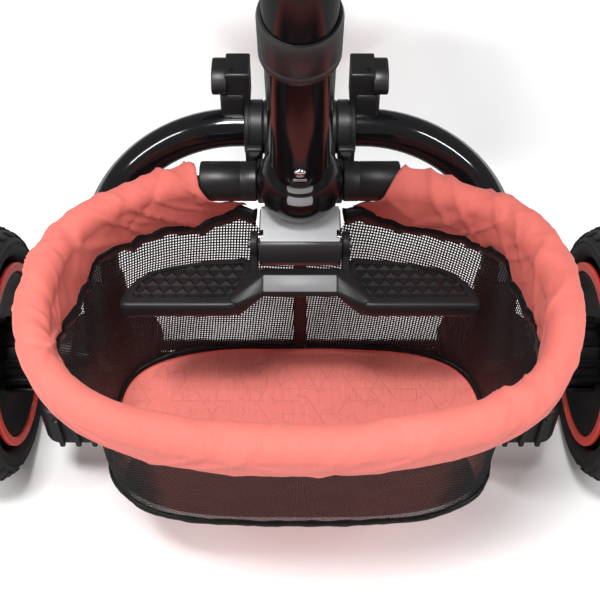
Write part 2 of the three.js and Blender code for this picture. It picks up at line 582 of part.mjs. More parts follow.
const bumperPath = bentPath([
  point(-BUMPER.halfWidth, BUMPER.y, BUMPER.z),
  point(-BUMPER.halfWidth, BUMPER.y + BUMPER.reach, BUMPER.z + BUMPER.rise),
  point(BUMPER.halfWidth, BUMPER.y + BUMPER.reach, BUMPER.z + BUMPER.rise),
  point(BUMPER.halfWidth, BUMPER.y, BUMPER.z),
], 70);
add('bumper_bar', swept(bumperPath, BUMPER.radius, 20, 10), FOAM);

// ---- stand the stroller on the ground, centred on its own footprint ----
const bounds = new THREE.Box3().setFromObject(stroller, true);
const middle = bounds.getCenter(new THREE.Vector3());
stroller.position.set(-middle.x, -middle.y, -bounds.min.z);

const part = new THREE.Group();
part.add(stroller);
export default part;
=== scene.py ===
"""Baby stroller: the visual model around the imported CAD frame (metres, +Y forward, +Z up)."""
import math
from contextlib import contextmanager
import bmesh
import bpy
from mathutils import Matrix, Vector, noise


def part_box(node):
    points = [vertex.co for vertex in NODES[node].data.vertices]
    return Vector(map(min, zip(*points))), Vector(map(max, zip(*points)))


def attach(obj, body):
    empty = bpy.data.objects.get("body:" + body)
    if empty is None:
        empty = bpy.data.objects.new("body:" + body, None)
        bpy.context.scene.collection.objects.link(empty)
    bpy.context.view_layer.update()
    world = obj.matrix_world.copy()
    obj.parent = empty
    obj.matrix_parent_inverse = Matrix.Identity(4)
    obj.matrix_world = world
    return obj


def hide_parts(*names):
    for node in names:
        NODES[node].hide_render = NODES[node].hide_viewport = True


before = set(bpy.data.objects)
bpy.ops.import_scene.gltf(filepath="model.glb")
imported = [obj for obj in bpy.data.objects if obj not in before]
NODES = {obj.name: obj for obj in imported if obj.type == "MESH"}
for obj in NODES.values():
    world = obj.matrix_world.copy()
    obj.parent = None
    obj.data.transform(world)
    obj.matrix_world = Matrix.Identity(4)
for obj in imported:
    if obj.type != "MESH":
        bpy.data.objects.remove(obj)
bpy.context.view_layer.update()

MM = 0.001
SIDES = {-1: "left", 1: "right"}
AXLE_HEIGHT = 115

# Places are written in millimetres from a point AXLE_HEIGHT under the middle of the rear axle,
# as in the CAD; the wheels stand at z = 17 there.
axle_low, axle_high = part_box("axle_rod")
AXLE_Y = (axle_low.y + axle_high.y) / 2
LIFT = (axle_low.z + axle_high.z) / 2 - AXLE_HEIGHT * MM


def at(x, y, z):
    return Vector((x * MM, AXLE_Y + y * MM, z * MM + LIFT))


def height(z):
    return z * MM + LIFT


def placed(name, data):
    """A new object in the scene."""
    obj = bpy.data.objects.new(name, data)
    bpy.context.scene.collection.objects.link(obj)
    return obj


# ------------------------------------------------------------------ camera
CAMERA_PLACE = at(0, -481.6, 752.6)
CAMERA_DOWN = math.radians(50)
CAMERA_LENS = 62.8

camera_data = bpy.data.cameras.new("camera")
camera_data.lens = CAMERA_LENS
camera_data.sensor_width = 36
camera_data.clip_start = 0.02
camera = placed("camera", camera_data)
camera.location = CAMERA_PLACE
camera.rotation_euler = (math.radians(90) - CAMERA_DOWN, 0, 0)
bpy.context.scene.camera = camera


# ------------------------------------------------------------------ materials
class Look:
    """A node material, written as a chain of small steps."""

    def __init__(self, name, color, roughness, metallic=0.0, **inputs):
        self.material = bpy.data.materials.new(name)
        self.material.use_nodes = True
        self.tree = self.material.node_tree
        self.shader = self.tree.nodes["Principled BSDF"]
        self.color = (*color, 1.0)
        self.put(self.shader, Base_Color=self.color, Roughness=roughness, Metallic=metallic,
                 **inputs)
        self.coords = self.node("ShaderNodeTexCoord").outputs["Object"]

    def node(self, kind, **settings):
        made = self.tree.nodes.new(kind)
        for key, value in settings.items():
            setattr(made, key, value)
        return made

    def put(self, node, **values):
        for key, value in values.items():
            node.inputs[key.replace("_", " ")].default_value = value

    def link(self, a, b):
        self.tree.links.new(a, b)

    def stretched(self, scale, source=None):
        mapping = self.node("ShaderNodeMapping")
        self.put(mapping, Scale=scale)
        self.link(source or self.coords, mapping.inputs["Vector"])
        return mapping.outputs["Vector"]

    def noise(self, scale, detail=3.0, stretch=(1, 1, 1), source=None):
        texture = self.node("ShaderNodeTexNoise")
        self.put(texture, Scale=scale, Detail=detail)
        self.link(self.stretched(stretch, source), texture.inputs["Vector"])
        return texture.outputs["Fac"]

    def ramp(self, source, low, high, at_low=0.0, at_high=1.0):
        mapped = self.node("ShaderNodeMapRange")
        self.link(source, mapped.inputs["Value"])
        self.put(mapped, From_Min=low, From_Max=high, To_Min=at_low, To_Max=at_high)
        return mapped.outputs["Result"]

    def math(self, operation, a, b=None):
        made = self.node("ShaderNodeMath", operation=operation)
        for socket, value in zip(made.inputs, (a, b)):
            if isinstance(value, (int, float)):
                socket.default_value = value
            elif value is not None:
                self.link(value, socket)
        return made.outputs["Value"]

    def tint(self, factor, other):
        """Base colour goes from its own colour to `other` with the factor."""
        mix = self.node("ShaderNodeMix", data_type="RGBA")
        self.link(factor, mix.inputs["Factor"])
        base = self.shader.inputs["Base Color"]
        if base.links:
            self.link(base.links[0].from_socket, mix.inputs[6])
        else:
            mix.inputs[6].default_value = self.color
        mix.inputs[7].default_value = (*other, 1.0)
        self.link(mix.outputs[2], base)
        return self

    def rough(self, factor, low, high):
        self.link(self.ramp(factor, 0.3, 0.7, low, high), self.shader.inputs["Roughness"])
        return self

    def bump(self, height, distance, strength=1.0):
        made = self.node("ShaderNodeBump")
        self.put(made, Strength=strength, Distance=distance)
        normal = self.shader.inputs["Normal"]
        if normal.links:
            self.link(normal.links[0].from_socket, made.inputs["Normal"])
        self.link(height, made.inputs["Height"])
        self.link(made.outputs["Normal"], normal)
        return self


def paint(name="gloss_black_paint", coat=0.6, specular=0.5):
    look = Look(name, (0.004, 0.004, 0.005), 0.12, Coat_Weight=coat,
                Coat_Roughness=0.05, Specular_IOR_Level=specular)
    return look.rough(look.noise(40), 0.10, 0.16).bump(look.noise(220, 1), 0.00002).material


def moulded(name, color, roughness, grain=0.00004, gloss=0.5):
    look = Look(name, color, roughness, Specular_IOR_Level=gloss)
    pores = look.noise(1800, 2)
    clouds = look.noise(25, 3)
    look.bump(pores, grain)
    look.rough(clouds, roughness - 0.05, roughness + 0.07)
    return look.tint(look.ramp(clouds, 0.35, 0.75, 0.0, 0.5), [c * 1.5 for c in color]).material


def steel():
    look = Look("steel", (0.62, 0.63, 0.65), 0.25, 1.0)
    return look.rough(look.noise(300, 2, (1, 6, 6)), 0.18, 0.36).material


def tyre_rubber():
    look = Look("tyre_rubber", (0.012, 0.012, 0.013), 0.62)
    dust = look.noise(18, 4)
    look.tint(look.ramp(dust, 0.45, 0.8, 0.0, 0.55), (0.035, 0.033, 0.03))
    look.rough(dust, 0.5, 0.78)
    return look.bump(look.noise(900, 2), 0.00006).material


def weave(look, pitch, depth, source=None):
    """Plain weave: two crossed sets of threads, as bump."""
    for axis in "XY":
        wave = look.node("ShaderNodeTexWave", wave_type="BANDS", bands_direction=axis)
        look.put(wave, Scale=math.pi / 10 / pitch)
        look.link(source or look.coords, wave.inputs["Vector"])
        look.bump(wave.outputs["Fac"], depth)
    return look


CORAL = (0.70, 0.148, 0.120)
CORAL_DEEP = (0.52, 0.085, 0.068)


def coral_cloth(name="coral_cloth", color=None, embossed=False, space="UV"):
    look = Look(name, color or CORAL, 0.78, Sheen_Weight=0.15, Sheen_Roughness=0.4,
                Sheen_Tint=(1.0, 0.75, 0.7, 1.0))
    uv = look.node("ShaderNodeTexCoord").outputs[space]
    slub = look.noise(1.0, 2, (900, 60, 60), uv)
    look.tint(look.ramp(slub, 0.3, 0.75, 0.0, 0.25), CORAL_DEEP)
    look.tint(look.ramp(look.noise(9, 4), 0.3, 0.8, 0.0, 0.22), (0.90, 0.24, 0.19))
    weave(look, 0.0007, 0.00006, uv)
    look.bump(look.noise(38, 4), 0.0012, 0.5)
    if embossed:
        look.bump(stamped_lines(look, uv), 0.0007, 0.65)
    return look.material


def stamped_lines(look, uv):
    """Short straight strokes pressed into the cloth at three angles: a generic quilted zigzag."""
    strokes = None
    for turn, seed in ((0.0, 0.0), (1.05, 3.7), (2.09, 8.1)):
        turned = look.node("ShaderNodeMapping")
        look.put(turned, Rotation=(0, 0, turn), Location=(seed, seed * 0.7, 0))
        look.link(uv, turned.inputs["Vector"])
        cells = look.node("ShaderNodeTexBrick", offset=0.5)
        look.put(cells, Scale=1.0, Brick_Width=0.024, Row_Height=0.011,
                 Mortar_Size=0.0005, Mortar_Smooth=0.6)
        look.link(turned.outputs["Vector"], cells.inputs["Vector"])
        patch = look.ramp(look.noise(1.0, 0, (55, 55, 1), turned.outputs["Vector"]), 0.50, 0.56)
        line = look.math("MULTIPLY", cells.outputs["Fac"], patch)
        strokes = line if strokes is None else look.math("MAXIMUM", strokes, line)
    return strokes


def dark_cloth():
    look = Look("dark_cloth", (0.012, 0.012, 0.013), 0.8, Sheen_Weight=0.3)
    weave(look, 0.0008, 0.00008)
    return look.bump(look.noise(60, 3), 0.0006, 0.5).material


def piping_cloth():
    look = Look("black_piping", (0.009, 0.009, 0.010), 0.34, Specular_IOR_Level=0.25,
                Sheen_Weight=0.08, Sheen_Roughness=0.3)
    return look.bump(look.noise(160, 3), 0.0012, 0.6).material


DENSE_FROM_TO = (0.085, 0.115)


def open_mesh(name, color, shine, pitch, thread, slant=0.0, dense=None):
    """Black netting: a thread every `pitch` (metres), with holes cut by alpha on the UVs.

    `thread` is a thread's share of the pitch; far from the middle it grows to `dense`.
    """
    look = Look(name, color, 0.5, Specular_IOR_Level=shine)
    uv = look.node("ShaderNodeTexCoord").outputs["UV"]
    turned = look.node("ShaderNodeMapping")
    look.put(turned, Rotation=(0, 0, slant))
    look.link(uv, turned.inputs["Vector"])
    split = look.node("ShaderNodeSeparateXYZ")
    look.link(turned.outputs["Vector"], split.inputs["Vector"])
    if dense:
        where = look.node("ShaderNodeSeparateXYZ")
        look.link(look.coords, where.inputs["Vector"])
        thread = look.ramp(look.math("ABSOLUTE", where.outputs["X"]), *DENSE_FROM_TO, thread, dense)
    solid = None
    for axis, step in zip("XY", pitch):
        place = look.math("FRACT", look.math("DIVIDE", split.outputs[axis], step))
        away = look.math("ABSOLUTE", look.math("SUBTRACT", place, 0.5))
        band = look.math("GREATER_THAN",
                         look.math("ADD", away, look.math("MULTIPLY", thread, 0.5)), 0.5)
        solid = band if solid is None else look.math("MAXIMUM", solid, band)
    look.link(solid, look.shader.inputs["Alpha"])
    return look.bump(look.noise(700, 1), 0.0008).material


def foam():
    look = Look("grip_foam", (0.010, 0.010, 0.011), 0.8)
    return look.bump(look.noise(1500, 3), 0.00012).material


PAINT = paint()
TUBE_PAINT = paint("push_tube_paint", 0.0, 0.34)
PLASTIC = moulded("matte_black_plastic", (0.011, 0.011, 0.012), 0.40)
PEDAL = moulded("pedal_plastic", (0.014, 0.014, 0.015), 0.38, gloss=0.3)
KNUCKLE = moulded("knuckle_plastic", (0.022, 0.022, 0.024), 0.33, 0.00002)
GREY = moulded("satin_grey_plastic", (0.055, 0.056, 0.060), 0.34)
RIM_BLACK = moulded("rim_plastic", (0.006, 0.006, 0.007), 0.34, 0.00001, 0.2)
GLOSSY = moulded("gloss_black_plastic", (0.004, 0.004, 0.005), 0.16, 0.000005)
BALL_BLACK = moulded("ball_plastic", (0.004, 0.004, 0.005), 0.22, 0.000005)
# Light grey: the handle ball's two panes, which are painted reflections of lamps, and the small lip
# on the push tube.
PALE_GREY = moulded("pale_grey", (0.26, 0.26, 0.27), 0.28, 0.00001)
STEEL = steel()
CHROME = Look("chrome", (0.85, 0.86, 0.88), 0.08, 1.0).material
TYRE = tyre_rubber()
CORAL_PLASTIC = moulded("coral_plastic", (0.66, 0.060, 0.040), 0.30, 0.00001)
CLOTH = coral_cloth()
# The floor panel is the sleeve's coral cloth painted lighter: painted light to offset the shade
# that falls on it inside the basket.
PANEL = coral_cloth("coral_panel_painted_light", (0.95, 0.245, 0.208), embossed=True)
PAD_CLOTH = coral_cloth("coral_pad", space="Object")
DARK_CLOTH = dark_cloth()
PIPING = piping_cloth()
NET = open_mesh("black_net", (0.014, 0.014, 0.0145), 0.2, (0.0018, 0.0024), 0.54, 0.10)
FINE_NET = open_mesh("fine_black_net", (0.010, 0.010, 0.010), 0.08, (0.0016, 0.0016), 0.50,
                     0.78, 0.86)
# Light grey for the footrest bar's sloping top: a painted highlight, standing in for the light that
# face of the black plastic reflects.
BAR_HIGHLIGHT_GREY = moulded("bar_top_painted_highlight", (0.15, 0.15, 0.155), 0.42, 0.00003)
# Light grey for the knuckle's flat top: a painted highlight for the light the black knuckle's top
# reflects, made lighter still to offset the shade of the handle and seat above it.
KNUCKLE_HIGHLIGHT_GREY = moulded("knuckle_painted_highlight", (0.45, 0.45, 0.46), 0.42, 0.00003)
FOAM = foam()
RUBBER = moulded("tread_rubber", (0.009, 0.009, 0.010), 0.34, 0.00002)


# ------------------------------------------------------------------ mesh helpers
def piece(name, mesh, material, body, node=None, crease=40):
    """A visible piece on one body, from a mesh or a list of them, in place of a CAD node."""
    if isinstance(mesh, list):
        mesh = merged(mesh)
    mesh.name = name
    obj = placed(name, mesh)
    mesh.materials.clear()
    mesh.materials.append(material)
    mesh.shade_smooth()
    if crease < 180:
        mesh.set_sharp_from_angle(angle=math.radians(crease))
    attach(obj, body)
    if node:
        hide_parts(node)
    return obj


def plastic(name, mesh, body, node=None):
    return piece(name, mesh, PLASTIC, body, node)


def mesh_of(vertices, faces, uvs=None):
    mesh = bpy.data.meshes.new("mesh")
    mesh.from_pydata([tuple(v) for v in vertices], [], faces)
    if uvs:
        layer = mesh.uv_layers.new(name="UVMap")
        for loop in mesh.loops:
            layer.data[loop.index].uv = uvs[loop.vertex_index]
    mesh.update()
    return mesh


@contextmanager
def editing(mesh):
    work = bmesh.new()
    work.from_mesh(mesh)
    yield work
    work.to_mesh(mesh)
    work.free()


def weld(work):
    bmesh.ops.remove_doubles(work, verts=work.verts, dist=1e-6)


def tidy(mesh):
    with editing(mesh) as work:
        weld(work)
        bmesh.ops.recalc_face_normals(work, faces=work.faces)
    return mesh


AXES = {"x": Matrix(((0, 0, 1), (1, 0, 0), (0, 1, 0))).to_4x4(),
        "y": Matrix(((0, 1, 0), (0, 0, 1), (1, 0, 0))).to_4x4(),
        "z": Matrix.Identity(4)}


def shift(x=0.0, y=0.0, z=0.0):
    return Matrix.Translation(at(x, y, z))


def aimed(low, high):
    """A frame at `low` whose Z points to `high`."""
    turn = Vector((0, 0, 1)).rotation_difference(high - low).to_matrix().to_4x4()
    return Matrix.Translation(low) @ turn


def span(side, a, b):
    """The stretch from a to b out from the middle on one side, as low and high x."""
    return sorted((side * a, side * b))


ORIGIN, REAR_AXLE, FRONT_AXLE = shift(), shift(0, 0, AXLE_HEIGHT), shift(0, 520, 92)
CASTER = shift(0, 560, 0)
QUARTER_X, QUARTER_Y = (Matrix.Rotation(math.radians(90), 4, axis) for axis in "XY")


def mirrored(mesh, side):
    if side < 0:
        mesh.transform(Matrix.Scale(-1, 4, (1, 0, 0)))
        mesh.flip_normals()
    return mesh


def lathe(profile, axis="x", segments=72, place=ORIGIN):
    """Turns [radius, along] pairs (mm) about an axis through the origin of `place`."""
    rings = len(profile)
    vertices, faces = [], []
    for i in range(segments):
        turn = 2 * math.pi * i / segments
        for radius, along in profile:
            vertices.append(Vector((radius * math.cos(turn), radius * math.sin(turn), along)) * MM)
    for i in range(segments):
        j = (i + 1) % segments
        for k in range(rings - 1):
            faces.append((i * rings + k, j * rings + k, j * rings + k + 1, i * rings + k + 1))
    mesh = mesh_of(vertices, faces)
    mesh.transform(AXES[axis])
    mesh.transform(place)
    return tidy(mesh)


def rod(radius, low, high, axis="x", place=ORIGIN, ease=0.6, segments=48):
    """A solid round bar with eased ends."""
    return lathe([(0, low), (radius - ease, low), (radius, low + ease), (radius, high - ease),
                  (radius - ease, high), (0, high)], axis, segments, place)


def fillet(corners, bend):
    """The same soft corners as the CAD tubes: straight runs and cubic bends."""
    soft = 0.5523
    points = [corners[0]]
    for before, corner, after in zip(corners, corners[1:], corners[2:]):
        a = corner.lerp(before, bend / (before - corner).length)
        b = corner.lerp(after, bend / (after - corner).length)
        for i in range(25):
            t = i / 24
            c, d = a.lerp(corner, soft), b.lerp(corner, soft)
            points.append(a * (1 - t) ** 3 + c * 3 * t * (1 - t) ** 2 + d * 3 * t * t * (1 - t)
                          + b * t ** 3)
    points.append(corners[-1])
    return points


def tube_faces(count, sides, closed=False):
    """The faces of a tube made of `count` rings of `sides` vertices."""
    faces = []
    for i in range(count if closed else count - 1):
        j = (i + 1) % count
        for k in range(sides):
            n = (k + 1) % sides
            faces.append((i * sides + k, i * sides + n, j * sides + n, j * sides + k))
    if not closed:
        faces.append(tuple(range(sides - 1, -1, -1)))
        faces.append(tuple(range((count - 1) * sides, count * sides)))
    return faces


def sweep(points, radius, sides=32):
    """A tube of a radius in mm through points in metres."""
    tangents = [(after - before).normalized()
                for before, after in zip(points[:1] + points, points[1:] + points[-1:])]
    across = tangents[0].orthogonal().normalized()
    vertices, uvs, run = [], [], 0.0
    for i, (centre, tangent) in enumerate(zip(points, tangents)):
        if i:
            run += (centre - points[i - 1]).length
        across = (across - tangent * across.dot(tangent)).normalized()
        up = tangent.cross(across)
        for k in range(sides):
            turn = 2 * math.pi * k / sides
            offset = across * math.cos(turn) + up * math.sin(turn)
            vertices.append(centre + offset * radius * MM)
            uvs.append((run, turn * radius * MM))
    return mesh_of(vertices, tube_faces(len(points), sides), uvs)


HARD_EDGE = math.radians(30)


def soften(mesh, width, segments=3):
    """Rounds the hard edges of a mesh by `width` mm."""
    with editing(mesh) as work:
        weld(work)
        bmesh.ops.dissolve_limit(work, angle_limit=math.radians(1), verts=work.verts,
                                 edges=work.edges)
        hard = [e for e in work.edges if len(e.link_faces) == 2
                and e.calc_face_angle(0) > HARD_EDGE]
        bmesh.ops.bevel(work, geom=hard, offset=width * MM, segments=segments, profile=0.5,
                        affect="EDGES", clamp_overlap=True)
    return mesh


def hull(points, ease):
    """The convex solid round some points (mm), with eased edges."""
    mesh = mesh_of([Vector(point) * MM for point in points], [])
    with editing(mesh) as work:
        made = bmesh.ops.convex_hull(work, input=work.verts)
        inside = [g for g in made["geom_interior"] if isinstance(g, bmesh.types.BMVert)]
        bmesh.ops.delete(work, geom=inside, context="VERTS")
    mesh.transform(ORIGIN)
    return soften(mesh, ease)


def prism(outline, low, high, axis="z", ease=0.8, segments=3, place=ORIGIN):
    """An outline extruded from low to high along an axis (mm), with rounded edges."""
    count = len(outline)
    vertices = [Vector((a, b, h)) * MM for h in (low, high) for a, b in outline]
    faces = [tuple(range(count - 1, -1, -1)), tuple(range(count, 2 * count))]
    faces += [(i, (i + 1) % count, count + (i + 1) % count, count + i) for i in range(count)]
    mesh = mesh_of(vertices, faces)
    mesh.transform(AXES[axis])
    mesh.transform(place)
    tidy(mesh)
    return soften(mesh, ease, segments) if ease else mesh


def block(x, y, z, ease=1.0, place=ORIGIN):
    return prism([(x[0], y[0]), (x[1], y[0]), (x[1], y[1]), (x[0], y[1])],
                 z[0], z[1], "z", ease, 3, place)


def rounded(width, depth, corner, a=0.0, b=0.0, steps=8):
    """A rectangle with round corners about (a, b), as an outline."""
    x, y = width / 2 - corner, depth / 2 - corner
    outline = []
    for sx, sy, start in ((1, 1, 0), (-1, 1, 90), (-1, -1, 180), (1, -1, 270)):
        for i in range(steps + 1):
            turn = math.radians(start + 90 * i / steps)
            outline.append((a + sx * x + corner * math.cos(turn),
                            b + sy * y + corner * math.sin(turn)))
    return outline


def eased(points, radius, steps=6):
    """A closed outline with its corners rounded."""
    outline = []
    for i, corner in enumerate(points):
        corner = Vector(corner)
        before, after = Vector(points[i - 1]), Vector(points[(i + 1) % len(points)])
        a = corner.lerp(before, min(0.48, radius / (before - corner).length))
        b = corner.lerp(after, min(0.48, radius / (after - corner).length))
        for k in range(steps + 1):
            t = k / steps
            outline.append(tuple(a * (1 - t) ** 2 + corner * 2 * t * (1 - t) + b * t * t))
    return outline


def carve(mesh, *tools, operation="DIFFERENCE"):
    """Exact booleans of a mesh with each tool in turn."""
    body = placed("body", mesh)
    helpers = [body]
    for tool in tools:
        helper = placed("tool", tool)
        cutter = body.modifiers.new("cut", "BOOLEAN")
        cutter.operation, cutter.solver, cutter.object = operation, "EXACT", helper
        helpers.append(helper)
    shaped = body.evaluated_get(bpy.context.evaluated_depsgraph_get())
    result = bpy.data.meshes.new_from_object(shaped)
    for helper in helpers:
        bpy.data.objects.remove(helper)
    return result


def merged(meshes):
    work = bmesh.new()
    for mesh in meshes:
        work.from_mesh(mesh)
    result = bpy.data.meshes.new("merged")
    work.to_mesh(result)
    work.free()
    return result


def star(outline, low, high, count, phase, place, ease):
    """Equal bars standing out round the x axis of `place`."""
    bars = []
    for i in range(count):
        bar = prism(outline, low, high, "z", ease, 2, QUARTER_Y)
        bar.transform(place @ Matrix.Rotation(2 * math.pi * i / count + phase, 4, "X"))
        bars.append(bar)
    return bars


def keep(node, material):
    obj = NODES[node]
    obj.data.materials.clear()
    obj.data.materials.append(material)
    obj.data.shade_smooth()
    obj.data.set_sharp_from_angle(angle=math.radians(40))


# ------------------------------------------------------------------ rear hoop, clamps, sockets
HOOP_FOOT, HOOP_TOP = (140, -9, 140), (140, 46, 300)
HOOP_BEND, HOOP_RADIUS = 100 * MM, 12.5


def on_side(side, place):
    return at(side * place[0], *place[1:])


def hoop():
    corners = [on_side(-1, HOOP_FOOT), on_side(-1, HOOP_TOP), on_side(1, HOOP_TOP),
               on_side(1, HOOP_FOOT)]
    piece("hoop_tube", sweep(fillet(corners, HOOP_BEND), HOOP_RADIUS, 48), PAINT,
          "chassis", "rear_hoop")


def clamps():
    place = shift(0, HOOP_TOP[1], HOOP_TOP[2])
    for side, name in SIDES.items():
        profile = [(12.8, 24), (17.2, 24), (18, 24.8), (18, 31.6), (17.3, 32.2), (17.3, 32.8),
                   (18, 33.4), (17.7, 35.2), (16.6, 36), (12.8, 36), (12.8, 24)]
        ring = lathe([(r, a * side) for r, a in profile], "x", 64, place)
        tab = prism(eased([(24, 286), (38, 286), (38, 300), (24, 300)], 3),
                    *span(side, 24.4, 35.2), "x", 1.2)
        bolt = lathe([(0, 22), (3.4, 22), (4, 21.4), (4, 12), (0, 12)], "z", 24,
                     shift(side * 29.5, 31, 277) @ Matrix.Rotation(0.3, 4, "X"))
        plastic(f"clamp_{name}", [ring, tab, bolt], "chassis", f"hoop_clamp_{name}")


def sockets():
    for side, name in SIDES.items():
        profile = [(0, 26.5), (11.6, 26.5), (12.5, 27.4), (12.5, 36), (12.25, 36.4),
                   (12.25, 36.9), (12.5, 37.3), (12.5, 60.4), (12.1, 61.6), (11, 62), (7.5, 62),
                   (7.5, 52), (0, 52)]
        mesh = lathe([(r, a * side) for r, a in profile], "x", 56, shift(0, -5, 300))
        plastic(f"socket_{name}", mesh, "chassis", f"basket_socket_{name}")


SEAT_Y = 185.0
# Z runs down the spine tube from its rear end, and up the leaning handle from the ball.
SPINE = aimed(at(0, 62, 298), at(0, 530, 232))
BALL = shift(0, -15, 310)
LEAN = BALL @ Matrix.Rotation(math.radians(20), 4, "X")


def ball_hollow(radius, steps, segments):
    """The round seat that the handle's ball turns in."""
    turns = [a * math.pi / steps for a in range(steps + 1)]
    return lathe([(radius * math.sin(a), radius * math.cos(a)) for a in turns], "z", segments, BALL)


def hub():
    drum = rod(17.8, -23.7, 23.7, "x", shift(0, 46, 300), 0.8)
    core = prism(eased([(-11, 268), (-11, 304), (60, 304), (66, 292), (66, 268)], 5),
                 -22.5, 22.5, "x", 2.5)
    yoke = rod(13.8, -26.2, 26.2, "x", shift(0, -5, 300), 0.8)
    spine_boss = rod(20.5, -4, 38, "z", SPINE, 1.5)
    body = carve(carve(drum, core, yoke, operation="UNION"), ball_hollow(27, 24, 48))
    plastic("hub_shell", [body, spine_boss], "chassis", "hub_housing")


def adapters():
    for side, name in SIDES.items():
        lobe = prism(eased([(47, 325), (66, 325), (71, 331), (71, 334), (66, 342), (50, 342),
                            (43, 335), (43, 331)], 5), *span(side, 46.5, 56), "x", 2.2)
        body = prism(eased([(46.5, 314), (70, 314), (70, 342), (46.5, 342)], 2.5),
                     *span(side, 32, 47.5), "x", 1.0)
        foot = prism(eased([(45, 308), (67, 308), (67, 327), (45, 327)], 5),
                     *span(side, 36, 51), "x", 1.6)
        stud = lathe([(0, 4.6), (1.8, 4.6), (2.2, 4.2), (2.2, 0), (0, 0)], "z", 24,
                     shift(side * 43, 52, 337.4))
        plastic(f"adapter_{name}", [lobe, body, foot], "chassis", f"seat_adapter_{name}")
        piece(f"adapter_stud_{name}", stud, STEEL, "chassis")


# ------------------------------------------------------------------ basket
# The rim's wire is an oval between an ellipse (power 2) and a box; the floor is squarer.
RIM_Y, RIM_Z, RIM_HALF = -100.0, 300.0, (149.0, 97.0)
RIM_POWER, FLOOR_POWER = 2.5, 3.4
FLOOR_Z, BAG_DEPTH = 131.5, 170
# How near the middle (mm) the cloth's top and its hem end in front, and half the knuckle's width.
SLEEVE_END, HEM_END, KNUCKLE_HALF = 64.0, 34.0, 29.0


def oval(angle, half_x, half_y, centre_y, z, power=RIM_POWER):
    """Point of the basket's oval at a compass angle (0 = right, 90 = forward)."""
    c, s = math.cos(angle), math.sin(angle)
    reach = (abs(c) ** power + abs(s) ** power) ** (-1 / power)
    return at(half_x * c * reach, centre_y + half_y * s * reach, z)


def angle_of(x):
    share = (x / RIM_HALF[0]) ** RIM_POWER
    return math.atan2((1 - share) ** (1 / RIM_POWER), x / RIM_HALF[0])


RIM_START, HEM_START = angle_of(SLEEVE_END), angle_of(HEM_END)
RIM_SWEEP = math.pi + 2 * RIM_START


def rim_angle(t):
    """t runs from the right socket, round the back, to the left socket."""
    return RIM_START - t * RIM_SWEEP


def rim_frame(angle):
    """The rim's centre line at an angle, and the level direction away from the basket."""
    centre = oval(angle, *RIM_HALF, RIM_Y, RIM_Z)
    ahead = oval(angle - 0.01, *RIM_HALF, RIM_Y, RIM_Z)
    along = (ahead - centre).normalized()
    return centre, Vector((-along.y, along.x, 0))


def ends(t, reach):
    """1 at the cloth's two front ends, falling to 0 a little way round."""
    return max(0.0, 1 - min(t, 1 - t) / reach)


def smooth(value):
    value = min(1.0, max(0.0, value))
    return value * value * (3 - 2 * value)


def ripple(*place):
    return noise.noise(Vector(place))


def outward(angle):
    return Vector((math.cos(angle), math.sin(angle), 0))


# Round the rim: how far the inner hem hangs below the rim's line, and how far inside it, in mm.
HEM_DROP = [(0, 20), (0.012, 28), (0.025, 32), (0.045, 28), (0.10, 25), (0.128, 35), (0.17, 34),
            (0.22, 24), (0.28, 17), (0.36, 14), (0.5, 14)]
HEM_IN = [(0, 3), (0.045, 4), (0.10, 5), (0.13, 10), (0.17, 12), (0.23, 9), (0.32, 10), (0.5, 10)]


def crease(x, y, z, share):
    """A thin pulled fold: 1 along scattered lines and 0 away from them."""
    line = max(0.0, 1 - abs(ripple(x, y, z)) * 4.5) ** 1.6
    return line * smooth((ripple(x * 0.6, y * 0.6, z + 20) + share) / 0.25)


def between(table, value):
    for (a, low), (b, high) in zip(table, table[1:]):
        if value <= b:
            return low + (high - low) * smooth((value - a) / (b - a))
    return table[-1][1]


def hem(t, inner):
    """Where the coral cloth's lower edge hangs: mm out from the rim's line, mm below it."""
    near = min(t, 1 - t)
    if inner:
        lopsided = 3.0 * smooth((near - 0.14) / 0.06) * max(-1.0, min(1.0, (0.5 - t) / 0.15))
        drop = between(HEM_DROP, near) + lopsided + 0.8 * ripple(t * 16, 0.3, 5.1)
        return -between(HEM_IN, near), drop
    return 7.5 - 4 * ends(t, 0.15), 17.5 + 1.2 * ripple(t * 13, 0.9, 2.4)


# Across the cloth: where its inner hem flap, the roll over the wire and its outer flap meet.
INNER_V, OUTER_V = 0.34, 0.72
# The roll over the wire, from the basket's inside: degrees from level outwards.
ROLL_FROM, ROLL_TO = 192, -24
CLEAR_OF_SOCKET = 13.3
# Pulled folds: depth (mm), how fast they run round the rim and aslant, and across; seed; share.
FOLDS = [(1.9, 17, 2.8, 1.0, 6.2, 0.12), (-1.3, 24, -2.4, 1.3, 17.2, 0.05),
         (1.2, 36, -4.2, 1.3, 12.2, 0.15)]


